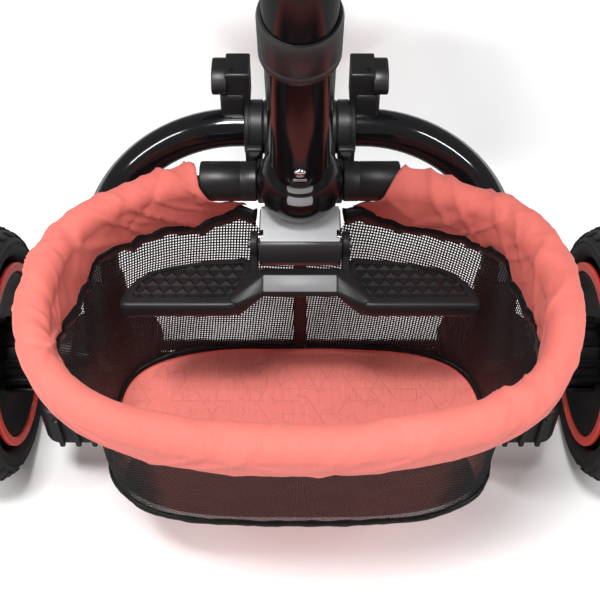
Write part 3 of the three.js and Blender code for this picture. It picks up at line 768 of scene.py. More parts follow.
def cloth_spot(t, v):
    """The coral cloth at t round the rim; v goes from the inner hem, over the rim, to the outer."""
    spread = (HEM_START - RIM_START) * ends(t, 0.05)
    reach = 0.56 if t < 0.5 else 0.42
    low = max(0.0, reach - v) / reach
    angle = rim_angle(t) + spread * low * (1 if t < 0.5 else -1)
    centre, out = rim_frame(angle)
    puff = 10.3 + 0.5 * ripple(t * 7, 0.0, 1.7)
    if v < INNER_V:
        share = v / INNER_V
        over, under = hem(t, True)
        turn = math.radians(ROLL_FROM)
        top = (puff * math.cos(turn), puff * math.sin(turn))
        across = over + (top[0] - over) * share ** 0.75 - 1.4 * math.sin(math.pi * share)
        rise = -under + (top[1] + under) * share
    elif v < OUTER_V:
        rolled = (v - INNER_V) / (OUTER_V - INNER_V)
        turn = math.radians(ROLL_FROM + (ROLL_TO - ROLL_FROM) * rolled)
        across, rise = puff * math.cos(turn), puff * math.sin(turn)
    else:
        share = (v - OUTER_V) / (1 - OUTER_V)
        over, under = hem(t, False)
        turn = math.radians(ROLL_TO)
        top = (puff * math.cos(turn), puff * math.sin(turn))
        across = top[0] + (over - top[0]) * share ** 1.4
        rise = top[1] + (-under - top[1]) * share
    near = ends(t, 0.17)
    fold = (1.7 + 1.8 * ends(t, 0.33)) * ripple(t * 14 + v * 2.2, v * 1.9, 1.7)
    for deep, run, slant, cross, seed, share in FOLDS:
        fold += deep * crease(t * run + v * slant, v * cross, seed, share)
    fold += 3.2 * near * crease(t * 50 + 4.5 * v, v * 0.7, 3.1, 0.1)
    fold += 0.30 * ripple(t * 120, v * 9, 8.8)
    if v < INNER_V:
        fold *= 1 + 0.5 * (1 - v / INNER_V)
    long = math.hypot(across, rise)
    grow = 1 + fold / max(long, 8)
    tight = CLEAR_OF_SOCKET / max(long * grow, 0.1)
    if tight > 1 and near > 0:
        beside = smooth((SLEEVE_END + 3 - abs(centre.x) / MM) / 5)
        grow *= 1 + (tight - 1) * beside
    return centre + out * across * grow * MM + Vector((0, 0, rise * grow * MM))


def cloth_surface(around=440, rows=56):
    """The coral sleeve as a grid, with its true lengths as UVs."""
    spots, uvs = [], []
    last, runs = None, [0.0] * (rows + 1)
    for i in range(around + 1):
        line = [cloth_spot(i / around, k / rows) for k in range(rows + 1)]
        width = 0.0
        for k, spot in enumerate(line):
            if k:
                width += (spot - line[k - 1]).length
            if last:
                runs[k] += (spot - last[k]).length
            spots.append(spot)
            uvs.append((runs[rows // 2], width))
        last = line
    return grid_mesh(spots, uvs, rows + 1)


def wall_spot(angle, share):
    """A point of the bag's wall: 0 at the rim, 1 at the floor."""
    half_x = RIM_HALF[0] * (0.95 - 0.075 * share) - 4 * math.sin(math.pi * share)
    half_y = RIM_HALF[1] * (0.95 - 0.2 * share) - 2 * math.sin(math.pi * share)
    power = RIM_POWER + (FLOOR_POWER - RIM_POWER) * share
    return oval(angle, half_x, half_y, RIM_Y + 20 * share, RIM_Z - BAG_DEPTH * share, power)


def grid_mesh(spots, uvs, rows):
    count = len(spots) // rows
    faces = [(i * rows + k, (i + 1) * rows + k, (i + 1) * rows + k + 1, i * rows + k + 1)
             for i in range(count - 1) for k in range(rows - 1)]
    return mesh_of(spots, faces, uvs)


def net_top(angle):
    """The net's upper edge: along the coral hem, and under the hinge knuckle in front."""
    inner_end = (HEM_START - RIM_START) / RIM_SWEEP
    t = (RIM_START - (angle if angle <= math.pi / 2 else angle - 2 * math.pi)) / RIM_SWEEP
    if -inner_end < t < 1 + inner_end:
        reach = 0.05
        for end in (t, 1 - t):
            if end < reach:
                moved = (end + inner_end) * reach / (reach + inner_end)
                t = moved if t < 0.5 else 1 - moved
        return cloth_spot(t, 0.02)
    spot = oval(angle, RIM_HALF[0] - 3, RIM_HALF[1] - 4, RIM_Y, RIM_Z - HEM_DROP[0][1] - 5)
    spot.z -= smooth((KNUCKLE_HALF - abs(spot.x) / MM) / 2) * 18 * MM
    return spot


def wall_line(angle, start=0.0):
    """One upright line of the net, from its top edge to the floor's edge."""
    rows = 26
    top = wall_spot(angle, start) if start else net_top(angle)
    share_top = (height(RIM_Z) - top.z) / (BAG_DEPTH * MM)
    line = []
    for k in range(rows + 1):
        down = k / rows
        share = share_top + (0.99 - share_top) * down
        spot = wall_spot(angle, share).lerp(top, 1 - smooth(down / 0.35))
        spot.z = top.z + (height(RIM_Z - 0.99 * BAG_DEPTH) - top.z) * down
        swell = 2.4 * noise.noise(spot * 16) + 1.0 * noise.noise(spot * 55)
        line.append(spot + outward(angle) * swell * math.sin(math.pi * down) * MM)
    return line


def net_wall(first, last, around, start=0.0):
    """The net between two angles; its UVs are metres round the wall and up."""
    lines = [wall_line(first + (last - first) * i / around, start) for i in range(around + 1)]
    girth = [0.0]
    for i in range(around):
        before, after = (wall_spot(first + (last - first) * (i + k) / around, 0.5) for k in (0, 1))
        girth.append(girth[-1] + (after - before).length)
    middle = at(0, RIM_Y, 0)
    spots, uvs = [], []
    for line in lines:
        for spot in line:
            turn = math.atan2((spot.y - middle.y) / RIM_HALF[1], (spot.x - middle.x) / RIM_HALF[0])
            while turn < min(first, last) - 0.3:
                turn += 2 * math.pi
            while turn > max(first, last) + 0.3:
                turn -= 2 * math.pi
            place = min(around - 1e-6, max(0.0, (turn - first) / (last - first) * around))
            low = int(place)
            run = girth[low] + (girth[low + 1] - girth[low]) * (place - low)
            spots.append(spot)
            uvs.append((run, spot.z))
    return grid_mesh(spots, uvs, len(lines[0]))


def panel_height(angle):
    """How far the coral panel climbs the wall: high at the back, only a lip elsewhere."""
    return 2.0 + 126.0 * smooth((-math.sin(angle) - 0.52) / 0.36)


def floor_panel():
    """The coral panel: a gently wavy floor with an edge that climbs the wall."""
    around, rings, climb = 150, 16, 12
    spots, uvs = [], []
    rows = rings + climb
    for i in range(around):
        angle = 2 * math.pi * i / around
        rise = panel_height(angle)
        edge = wall_spot(angle, 0.985)
        middle = at(0, -80, FLOOR_Z)
        for k in range(1, rings + 1):
            share = k / rings
            spot = middle.lerp(edge, share * 0.965)
            spot.z = height(FLOOR_Z + 0.3 + 5.5 * share ** 7 * min(1.0, rise / 30)
                            + 1.6 * ripple(spot.x * 26, spot.y * 26, 2.0) * (1 - share ** 4))
            spots.append(spot)
            uvs.append((spot.x, spot.y))
        start = spots[-1]
        for k in range(1, climb + 1):
            z = (start.z - LIFT) / MM + rise * k / climb
            spot = wall_spot(angle, (RIM_Z - z) / BAG_DEPTH)
            spot -= outward(angle) * (3.0 + 1.2 * noise.noise(spot * 24)) * MM
            spot.z = height(z)
            spots.append(spot)
            out = (edge - middle).normalized() * (spot.z - start.z)
            uvs.append((start.x + out.x, start.y + out.y))
    faces = [(i * rows + k, j * rows + k, j * rows + k + 1, i * rows + k + 1)
             for i in range(around) for j in ((i + 1) % around,) for k in range(rows - 1)]
    faces.append(tuple(i * rows for i in reversed(range(around))))
    return mesh_of(spots, faces, uvs)


def binding(name, line, tall, thick, seed, closed=False):
    """A folded satin strip sewn round a cloth edge: an upright oval roll with small puckers."""
    count, sides = len(line), 14
    spots, uvs, run = [], [], 0.0
    for i, centre in enumerate(line):
        before = line[i - 1] if i or closed else line[0]
        after = line[(i + 1) % count] if closed or i < count - 1 else line[-1]
        along = (after - before).normalized()
        side = along.cross(Vector((0, 0, 1))).normalized()
        up = side.cross(along)
        run += (centre - before).length
        for k in range(sides):
            turn = 2 * math.pi * k / sides
            pucker = 1 + 0.24 * ripple(run * 260, turn, seed) + 0.26 * ripple(run * 90, 2.0, seed)
            if not closed:
                pucker *= 1 + 0.5 * ends(i / count, 0.03)
            spots.append(centre + (side * math.cos(turn) * thick / 2
                                   + up * math.sin(turn) * tall / 2) * pucker * MM)
            uvs.append((run, turn * tall / 2 * MM))
    piece(name, tidy(mesh_of(spots, tube_faces(count, sides, closed), uvs)), PIPING,
          "chassis", crease=180)


REAR_FROM, REAR_TO = math.radians(-28), math.radians(-152)


def basket():
    cloth = piece("basket_cloth", cloth_surface(), CLOTH, "chassis",
                  "basket_sleeve", crease=180)
    cloth.modifiers.new("thickness", "SOLIDIFY").thickness = 0.0006

    front = net_wall(REAR_TO + 2 * math.pi, REAR_FROM, 240)
    net = piece("basket_net", front, NET, "chassis", "basket_bag", crease=180)

    rear = net_wall(REAR_FROM, REAR_TO, 120, 0.085)
    net = piece("basket_net_rear", rear, FINE_NET, "chassis", crease=180)

    panel = piece("basket_panel", floor_panel(), PANEL, "chassis",
                  "basket_floor", crease=180)


def basket_bindings():
    edge = []
    for i in range(220):
        angle = -2 * math.pi * i / 220
        spot = wall_spot(angle, 0.975)
        spot += outward(angle) * 1.5 * ripple(i * 0.11, 1, 0) * MM
        edge.append(spot + Vector((0, 0, 1.2 * ripple(i * 0.13, 4, 0) * MM)))
    binding("floor_binding", edge, 5.0, 3.6, 1.0, closed=True)
    inner = [cloth_spot(i / 420, 0.0) for i in range(421)]
    hem_line = [at(28.5, -11, 277), at(30.5, -11.5, 277.5), *inner[2:-2],
                at(-30.5, -11.5, 277.5), at(-28.5, -11, 277)]
    sag = Vector((0, 0, -2.2 * MM))
    binding("hem_binding", [p + sag for p in hem_line], 9.0, 4.2, 2.0)


def centre_strap():
    strap = [wall_spot(math.pi / 2, 0.26 + 0.72 * k / 23) for k in range(24)]
    ribbon = [p + Vector((x, -1.2, 0)) * MM for p in strap for x in (-4.6, -1.6, 1.6, 4.6)]
    band = grid_mesh(ribbon, [(p.x, p.z) for p in ribbon], 4)
    band = piece("centre_strap", band, PIPING, "chassis", crease=180)
    band.modifiers.new("thickness", "SOLIDIFY").thickness = 0.001


# ------------------------------------------------------------------ rear axle and housings
def axle():
    tube = rod(11, -105, 105, "x", REAR_AXLE)
    piece("axle_cover", tube, PAINT, "chassis", "axle_tube")


def housings():
    for side, name in SIDES.items():
        body = prism(rounded(84, 92, 12, side * 148, -16), 84, 124, "z", 4.5, 4)
        tier = prism(rounded(62, 44, 9, side * 139, 2), 120, 138, "z", 4, 4)
        ribs = [block(span(side, x, x + 4), (-66, -58), (87, 120), 1.2) for x in (150, 162, 174)]
        boss = rod(15, *span(side, 180, 205.5), "x", REAR_AXLE, 1.2)
        shoulder = lathe([(0, 150), (21, 150), (22, 152), (21, 186), (19, 188), (0, 188)], "x",
                         48, shift(0, 0, 116))
        post = aimed(on_side(side, HOOP_FOOT), on_side(side, HOOP_TOP))
        sleeve = lathe([(0, -14), (17.5, -14), (17.5, 2), (16.2, 4), (15.6, 52), (15.2, 56),
                        (14.2, 58), (12.8, 58), (12.8, 20), (0, 20)], "z", 48, post)
        plastic(f"housing_{name}", [body, tier, boss, mirrored(shoulder, side), sleeve, *ribs],
                "chassis", f"axle_housing_{name}")


# ------------------------------------------------------------------ wheels
LUG_DEPTH = 2.2
# Rows of lugs: degrees round the skin, share of a step turned on, width, depth, length.
LUG_ROWS = [(72, 0.0, 0.30, 1.0, 0.60), (108, 0.5, 0.30, 1.0, 0.60), (42, 0.35, 0.34, 0.8, 0.66),
            (138, 0.85, 0.34, 0.8, 0.66)]


def tyre_mesh(radius, bead, low, high, place, count):
    """A balloon tyre with staggered shoulder and crown lugs."""
    middle, half = (low + high) / 2, (high - low) / 2
    waist = bead + 0.40 * (radius - bead)

    def skin(turn, proud=0.0):
        up = math.sin(turn)
        tall = radius - LUG_DEPTH - waist if up > 0 else waist - bead
        narrow = 0.62 if up < -0.8 else 1.0
        return (waist + (tall + proud) * up,
                middle + (half + proud - 0.4) * math.cos(turn) * narrow)

    turns = [math.radians(-62 + (304 * i / 56)) for i in range(57)]
    profile = [skin(t) for t in turns]
    profile.append(profile[0])
    carcass = lathe(profile, "x", 96, place)
    for ring_turn in (18, 162):
        r, a = skin(math.radians(ring_turn))
        line = [(r + 1.2 * math.cos(k * math.pi / 4), a + 1.2 * math.sin(k * math.pi / 4))
                for k in range(9)]
        carcass = merged([carcass, lathe(line, "x", 96, place)])
    lugs = []
    for i in range(count):
        for turn, offset, wide, deep, long in LUG_ROWS:
            corners = []
            for proud in (-0.8, deep * LUG_DEPTH):
                shrink = 1.0 if proud < 0 else 0.82
                for da, dt in ((-1, -1), (1, -1), (1, 1), (-1, 1)):
                    t = math.radians(turn) + da * wide / 2 * shrink
                    r, a = skin(t, proud)
                    spin = 2 * math.pi * (i + offset + dt * long / 2 * shrink
                                          + 0.12 * da * (1 if turn < 90 else -1)) / count
                    corners.append(Vector((a, r * math.cos(spin), r * math.sin(spin))) * MM)
            lug = mesh_of(corners, [(3, 2, 1, 0), (4, 5, 6, 7), (0, 1, 5, 4), (1, 2, 6, 5),
                                    (2, 3, 7, 6), (3, 0, 4, 7)])
            lug.transform(place)
            lugs.append(lug)
    tread = merged(lugs)
    with editing(tread) as work:
        bmesh.ops.recalc_face_normals(work, faces=work.faces)
        bmesh.ops.bevel(work, geom=work.edges, offset=0.5 * MM, segments=1,
                        affect="EDGES", clamp_overlap=True)
    return merged([carcass, tread])


def rear_wheels():
    place = REAR_AXLE
    for side, name in SIDES.items():
        body = f"rear_wheel_{name}"
        tyre = tyre_mesh(98, 70, 214, 256, place, 30)
        piece(f"tyre_{name}", mirrored(tyre, side), TYRE, body, f"rear_tyre_{name}")

        dish = lathe([(17, 206), (24.5, 206), (25.5, 207), (25.5, 221), (30, 223.5), (52, 221),
                      (58, 218), (61.8, 216), (62.3, 217.6), (69.6, 217.6), (69.6, 251.4),
                      (62.3, 251.4), (60, 250.5), (50, 244), (30, 246), (24, 248), (21, 252.4),
                      (19, 253), (0, 253), (0, 246.6), (6.5, 246.6), (6.5, 212), (17, 212),
                      (17, 206)], "x", 96, place)
        bars = star(rounded(5.4, 5.0, 0.6, 0, 26.2, 2), 192.5, 222.5, 11, 0.2, place, 0.5)
        cup = lathe([(21.5, 192), (24.4, 192), (25.2, 193), (25.2, 207), (21.5, 207),
                     (21.5, 192)], "x", 72, place)
        spokes = star(eased([(22, -7), (59, -4), (59, 4), (22, 7)], 2.5), 244, 249.5, 5, 0.3,
                      place, 1.4)
        rim = merged([dish, cup, *bars, *spokes])
        piece(f"rim_{name}", mirrored(rim, side), RIM_BLACK, body,
              f"rear_rim_{name}")
        for where, low, high in (("inner", 213.8, 217.4), ("outer", 251.6, 255.2)):
            ring = lathe([(62.9, low + 0.8), (63.7, low), (68.9, low), (69.7, low + 0.8),
                          (69.7, high - 0.8), (68.9, high), (63.7, high), (62.9, high - 0.8),
                          (62.9, low + 0.8)], "x", 96, place)
            piece(f"ring_{where}_{name}", mirrored(ring, side), CORAL_PLASTIC,
                  body, f"rear_ring_{where}_{name}")


def front_wheel():
    place = FRONT_AXLE
    tyre = tyre_mesh(75, 52, -19, 19, place, 26)
    piece("tyre_front", tyre, TYRE, "front_wheel", "front_tyre")
    rim = lathe([(5.3, -21), (12.5, -21), (14, -20), (15, -13), (44, -11), (47, -14), (48, -16.6),
                 (51.6, -16.6), (51.6, 16.6), (48, 16.6), (47, 14), (44, 11), (15, 13), (14, 20),
                 (12.5, 21), (5.3, 21), (5.3, -21)], "x", 96, place)
    spokes = []
    for side in SIDES:
        spokes += star(eased([(13, -5), (46, -3.4), (46, 3.4), (13, 5)], 2),
                       *span(side, 9, 14.5), 5, 0, place, 1.2)
    piece("rim_front", [rim, *spokes], CORAL_PLASTIC, "front_wheel", "front_rim")


def fork():
    legs = []
    for side in SIDES:
        leg = prism(eased([(546, 191), (544, 178), (507, 98), (509, 85), (520, 80), (531, 85),
                           (534, 98), (574, 178), (574, 191)], 7), *span(side, 22.5, 29), "x", 1.8)
        cap = lathe([(0, 34.5), (6, 34.5), (8.2, 33), (8.6, 28.6), (0, 28.6)], "x", 36,
                    FRONT_AXLE)
        legs += [leg, mirrored(cap, side)]
    crown = block((-26, 26), (546, 574), (177, 191), 4)
    pin = rod(8, 183, 256, "z", CASTER)
    plastic("fork_shell", [*legs, crown, pin], "caster", "front_fork")


def steering_head():
    head = lathe([(8.4, 192.5), (20, 192.5), (22, 195), (22, 258), (20.5, 262), (15, 266),
                  (0, 267)], "z", 64, CASTER)
    boss = rod(21, 424, 474, "z", SPINE, 2)
    plastic("head_shell", [head, boss], "chassis", "head_housing")


def spine():
    tube = rod(16, 0, 470, "z", SPINE)
    piece("spine_pipe", tube, PAINT, "chassis", "spine_tube")


def seat_stem():
    clamp = prism(rounded(46, 52, 9, 0, SEAT_Y), 258, 306, "z", 3, 3)
    post = lathe([(0, 300), (24, 300), (22, 310), (20, 320), (20, 452), (26, 462), (44, 468),
                  (47.4, 470), (48, 471), (48, 478.4), (0, 478.4)], "z", 72,
                 shift(0, SEAT_Y, 0))
    plastic("stem_shell", [clamp, post], "chassis", "seat_stem")


# ------------------------------------------------------------------ footrest
PIVOT_Y, PIVOT_Z = -35.0, 275.0
BRIDGE = [(-49, 268), (-58.4, 272.5), (-67.7, 266.5), (-68.5, 263), (-60, 260.5), (-50, 260.5)]
PAD = [(27, -46), (31, -33), (63, -36.5), (88, -42), (100, -49), (107, -58), (112.5, -74.8),
       (39, -74.8), (32, -68)]
TREAD = [(33, -39.5), (64, -41), (87, -46), (96, -51.5), (101, -59), (104, -68), (47, -68),
         (41, -63)]


def knuckle():
    outline = eased([(-12.1, 263.2), (-12.1, 285.2), (-43.0, 285.2), (-46.4, 281), (-46.6, 268),
                     (-43, 263.2)], 4.5, 6)
    barrel = prism(outline, -25.4, 25.4, "x", 1.4, 3)
    hollow = ball_hollow(27.2, 32, 64)
    notches = [block(span(side, 22.6, 27), (-40, -33), (279, 290), 0.0) for side in SIDES]
    mesh = carve(barrel, hollow, *notches)
    piece("knuckle", mesh, KNUCKLE, "chassis", "hinge_knuckle")
    # A thin light grey plate over the knuckle's top: painted highlight on the black knuckle.
    face = prism(eased([(-24.6, -42.6), (24.6, -42.6), (24.6, -12.4), (-24.6, -12.4)], 1.5),
                 284.6, 285.5, "z", 0.3, 2)
    piece("knuckle_highlight_plate", carve(face, hollow, *notches), KNUCKLE_HIGHLIGHT_GREY, "chassis")
    for side, name in SIDES.items():
        pin = rod(1.9, *span(side, 22.4, 26), "x", shift(0, -36.5, 282.4), 0.4, 24)
        piece(f"knuckle_pin_{name}", pin, STEEL, "chassis")


def pyramids(outline, low, high, pitch):
    """A plate whose top is a field of three-sided points, trimmed to an outline."""
    xs, ys = [p[0] for p in outline], [p[1] for p in outline]
    x0, y0 = min(xs) - 2 * pitch, min(ys) - 2 * pitch
    columns = int((max(xs) - x0) / pitch) + 3
    rows = int((max(ys) - y0) / (pitch * 0.866)) + 3
    grid = [[Vector((x0 + (c + 0.5 * (r % 2)) * pitch, y0 + r * pitch * 0.866, low))
             for c in range(columns)] for r in range(rows)]
    vertices = [v for row in grid for v in row]
    faces = []
    for r in range(rows - 1):
        for c in range(columns - 1):
            a, b = r * columns + c, r * columns + c + 1
            d, e = a + columns, b + columns
            pairs = ((a, b, e), (a, e, d)) if r % 2 else ((a, b, d), (b, e, d))
            (i, j, k), flat = pairs
            middle = (vertices[i] + vertices[j] + vertices[k]) / 3
            tip = len(vertices)
            vertices.append(Vector((middle.x, middle.y, high)))
            faces += [(i, j, tip), (j, k, tip), (k, i, tip), flat]
    mesh = mesh_of([v * MM for v in vertices], faces)
    with editing(mesh) as work:
        bmesh.ops.recalc_face_normals(work, faces=work.faces)
        rim = [e for e in work.edges if len(e.link_faces) == 1]
        made = bmesh.ops.extrude_edge_only(work, edges=rim)["geom"]
        for g in made:
            if isinstance(g, bmesh.types.BMVert):
                g.co.z -= 4 * MM
        bmesh.ops.contextual_create(
            work, geom=[g for g in made if isinstance(g, bmesh.types.BMEdge)])
        bmesh.ops.recalc_face_normals(work, faces=work.faces)
    mesh.transform(ORIGIN)
    trim = prism(outline, low - 1.6, high + 3, "z", 0)
    return carve(mesh, trim, operation="INTERSECT")


def footrest():
    parts = []
    bar = prism(eased(BRIDGE, 1.0, 3), -23, 23, "x", 0.4)
    turns = [math.radians(a) for a in range(-10, 200, 12)]
    arm_outline = [(PIVOT_Y + 8 * math.cos(a), PIVOT_Z + 8 * math.sin(a)) for a in turns]
    arm_outline += [(-50, 262), (-50, 251), (-36, 251)]
    for side, name in SIDES.items():
        pad = prism(eased([(side * x, y) for x, y in PAD], 7), 250, 262, "z", 3.4, 4)
        recess = prism(eased([(side * x, y) for x, y in TREAD], 4), 259.6, 266, "z", 0)
        pad = carve(pad, recess)
        arm = prism(arm_outline, *span(side, 26.2, 31), "x", 1.0)
        slope = [(side * 22.4, y, z) for y, z in BRIDGE]
        slope += [(side * x, y, z) for x, y in ((30, -45), (37, -52), (44, -70.5), (38.5, -74))
                  for z in (262.6, 250)]
        shoulder = hull(slope, 1.4)
        cap = lathe([(0, 31.9), (2.2, 31.9), (2.8, 31.5), (2.8, 30.5), (0, 30.5)], "x", 32,
                    shift(0, PIVOT_Y, PIVOT_Z))
        parts += [pad, arm, shoulder, mirrored(cap, side)]
        tread = pyramids(eased([(side * x, y) for x, y in TREAD], 4), 260.3, 262.4, 7.6)
        piece(f"tread_{name}", tread, RUBBER, "footrest",
              f"footrest_tread_{name}", crease=12)
    tilt = Matrix.Rotation(math.atan2(6.0, 9.3), 4, "X")
    # A thin light grey plate on the bar's sloping face: painted highlight on the black bar.
    face = prism(rounded(44.6, 10.2, 0.8), -0.3, 0.35, "z", 0.2, 2, shift(0, -63.05, 269.5) @ tilt)
    piece("bar_highlight_face", face, BAR_HIGHLIGHT_GREY, "footrest")
    piece("footrest_body", [bar, *parts], PEDAL, "footrest", "footrest_frame")


# ------------------------------------------------------------------ push handle
def sphere_patch(half, low, high, radius, thick):
    """A curved pane of the ball's skin, behind the tube."""
    vertices, faces = [], []
    across, up = 12, 5
    for size in (radius, radius - thick):
        for j in range(up + 1):
            z = low + (high - low) * j / up
            round_off = 1 - 0.10 * (2 * abs(j / up - 0.5)) ** 4
            for i in range(across + 1):
                x = half * round_off * (2 * i / across - 1)
                vertices.append(Vector((x, -math.sqrt(size ** 2 - x * x - z * z), z)) * MM)
    step, layer = across + 1, (across + 1) * (up + 1)
    for j in range(up):
        for i in range(across):
            a = j * step + i
            faces.append((a, a + 1, a + step + 1, a + step))
            faces.append((layer + a, layer + a + step, layer + a + step + 1, layer + a + 1))
    loop = [*range(across), *(j * step + across for j in range(up)),
            *(up * step + i for i in range(across, 0, -1)), *(j * step for j in range(up, 0, -1))]
    for a, b in zip(loop, loop[1:] + loop[:1]):
        faces.append((a, layer + a, layer + b, b))
    mesh = mesh_of(vertices, faces)
    mesh.transform(LEAN)
    return tidy(mesh)


def handle_ball():
    skin = [(26 * math.sin(math.radians(a)), -26 * math.cos(math.radians(a)))
            for a in range(0, 142, 3)]
    ball = lathe(skin + [(15.8, 20.8), (15.8, 30.4), (0, 30.4)], "z", 96, LEAN)
    turns = [a * math.pi / 40 for a in range(41)]
    seam = sweep([LEAN @ (Vector((25.95 * math.cos(a), 0, -25.95 * math.sin(a))) * MM)
                  for a in turns], 0.35, 8)
    piece("ball", [ball, seam], BALL_BLACK, "handle_lower", "handle_ball")
    # Two light grey panes on the black ball, each in a black bezel: painted reflections of lamps on
    # its glossy skin.
    for name, low, high in (("upper", 18.9, 22.0), ("lower", 12.4, 16.9)):
        piece(f"window_{name}", sphere_patch(7.6, low, high, 26.25, 1.5), PALE_GREY,
              "handle_lower", f"latch_window_{name}")
        frame_mesh = sphere_patch(8.4, low - 0.8, high + 0.8, 26.1, 1.5)
        piece(f"pane_bezel_{name}", frame_mesh, PLASTIC, "handle_lower")


def push_tube():
    tube = lathe([(16.3, 32), (17.4, 32), (18, 32.7), (18, 429), (17.4, 430), (16.3, 430),
                  (16.3, 32)], "z", 96, LEAN)
    piece("push_tube", tube, TUBE_PAINT, "handle_lower", "handle_tube")
    lip = block((-3.8, 3.8), (-18.6, -16), (35.4, 37.6), 0.5, LEAN)
    piece("tube_lip", lip, PALE_GREY, "handle_lower")


def handle_rings():
    collar = lathe([(18.3, 140), (19.4, 140), (20.5, 141.4), (20.5, 146), (20.1, 146.6),
                    (20.1, 147.4), (20.5, 148), (20.5, 169), (19.6, 172), (18.3, 172),
                    (18.3, 140)], "z", 96, LEAN)
    plastic("collar", collar, "handle_lower", "handle_sleeve")
    lock = lathe([(15.9, 430.4), (18.4, 430.4), (18.4, 414), (19.6, 414), (20.5, 416),
                  (20.5, 424), (19.9, 425), (19.9, 427), (20.5, 428), (20.5, 449), (19.2, 452),
                  (15.9, 452), (15.9, 430.4)], "z", 72, LEAN)
    lever = prism(rounded(14, 26, 5, 0, 434), 19.2, 23.4, "z", 1.5, 3, LEAN @ QUARTER_X)
    plastic("lock_ring", [lock, lever], "handle_lower", "handle_lock")


def latch_button():
    dome = lathe([(0, 14), (3.4, 14), (3.4, 18.2), (3.2, 19.0), (2.6, 19.8), (1.6, 20.3),
                  (0, 20.5)], "z", 32, LEAN @ Matrix.Translation((0, 0, 46 * MM)) @ QUARTER_X)
    piece("button_dome", dome, CHROME, "latch", "latch_button")


def handle_top():
    slider = rod(15.5, 330, 778, "z", LEAN)
    piece("slider_tube", slider, PAINT, "handle_upper", "handle_slider")
    neck = lathe([(15.9, 738), (18.8, 738), (20, 740), (20, 786), (22, 792), (22, 800),
                  (0, 800)], "z", 64, LEAN)
    crossing = LEAN @ Matrix.Translation((0, 0, 0.8))
    bar = rod(14, -169, 169, "x", crossing, 2)
    hub_bar = lathe([(0, -31), (17.5, -31), (20.5, -27), (21, -18), (21, 18), (20.5, 27),
                     (17.5, 31), (0, 31)], "x", 64, crossing)
    plastic("crossbar", [neck, bar, hub_bar], "handle_upper", "handle_crossbar")
    profile = [(14.2, 32), (17, 32), (18, 33.5)]
    for start in range(38, 159, 11):
        profile += [(18, start), (17.2, start + 0.8), (17.2, start + 1.8), (18, start + 2.6)]
    profile += [(18, 162), (17, 165), (14.2, 165), (14.2, 32)]
    for side, name in SIDES.items():
        grip = mirrored(lathe(profile, "x", 64, crossing), side)
        piece(f"grip_{name}", grip, FOAM, "handle_upper", f"handle_grip_{name}")


# ------------------------------------------------------------------ seat
PAN_FLOOR, PAN_ROOF = 492.0, 505.0
RECLINE = shift(0, 90, 512) @ Matrix.Rotation(math.radians(18), 4, "X")


def turntable():
    table = lathe([(0, 479.6), (46.5, 479.6), (48, 481), (48, 484), (47.2, 484.6), (47.2, 486),
                   (48, 486.6), (48, 490.6), (46.8, 491.6), (0, 491.6)], "z", 96,
                  shift(0, SEAT_Y, 0))
    piece("turntable", table, GREY, "seat", "seat_turntable")


def seat_pan():
    pan = prism(rounded(280, 210, 32, 0, SEAT_Y, 10), PAN_FLOOR, PAN_ROOF, "z", 4, 4)
    ribs = [block((x - 2.5, x + 2.5), (SEAT_Y - 92, SEAT_Y + 92),
                  (PAN_FLOOR - 6, PAN_FLOOR + 4), 1.5) for x in (-90, -45, 45, 90)]
    cheeks = []
    for side in SIDES:
        back = prism(eased([(81, 493), (81, 520), (88, 526), (98, 526), (150, 503), (150, 493)],
                           5), *span(side, 136.5, 143), "x", 1.6)
        mid = prism(eased([(112, 493), (126, 570), (132, 587), (148, 587), (154, 570),
                           (168, 493)], 7), *span(side, 136.5, 143), "x", 1.6)
        front = prism(eased([(270, 493), (270, 504), (298, 505), (304, 500), (298, 494)], 3),
                      *span(side, 111, 118), "x", 1.2)
        knob = lathe([(0, 142), (11, 142), (12, 143), (12, 147), (10.5, 149.5), (0, 150)], "x",
                     40, shift(0, 140, 575))
        hinge = lathe([(0, 142), (10, 142), (11, 143), (11, 146), (9.5, 148), (0, 148)], "x",
                      40, shift(0, 90, 512))
        cheeks += [back, mid, front, mirrored(knob, side), mirrored(hinge, side)]
    plastic("pan", [pan, *ribs, *cheeks], "seat", "seat_pan")


def backrest():
    upright = RECLINE @ QUARTER_X
    shell = prism(rounded(270, 420, 62, 0, 224, 10), 0.4, 12, "z", 3.4, 4, upright)
    bands = [prism(rounded(8, 330, 3.5, x, 224, 4), 10.5, 15, "z", 1.6, 2, upright)
             for x in (-78, -39, 0, 39, 78)]
    plastic("shell", [shell, *bands], "backrest", "back_shell")


def leg_rest():
    hang = shift(0, 297, 500) @ QUARTER_X
    board = prism(rounded(220, 100, 18, 0, -55, 8), -4.9, 4.9, "z", 2.4, 3, hang)
    barrel = rod(5.0, -108, 108, "x", shift(0, 297, 500), 0.8)
    plastic("leg_board", [board, barrel], "leg_rest", "leg_rest")


def bumper():
    corners = [at(-155, 140, 575), at(-155, 307, 618), at(155, 307, 618), at(155, 140, 575)]
    line = fillet(corners, 70 * MM)
    piece("bumper", sweep(line, 11, 40), FOAM, "bumper", "bumper_bar")


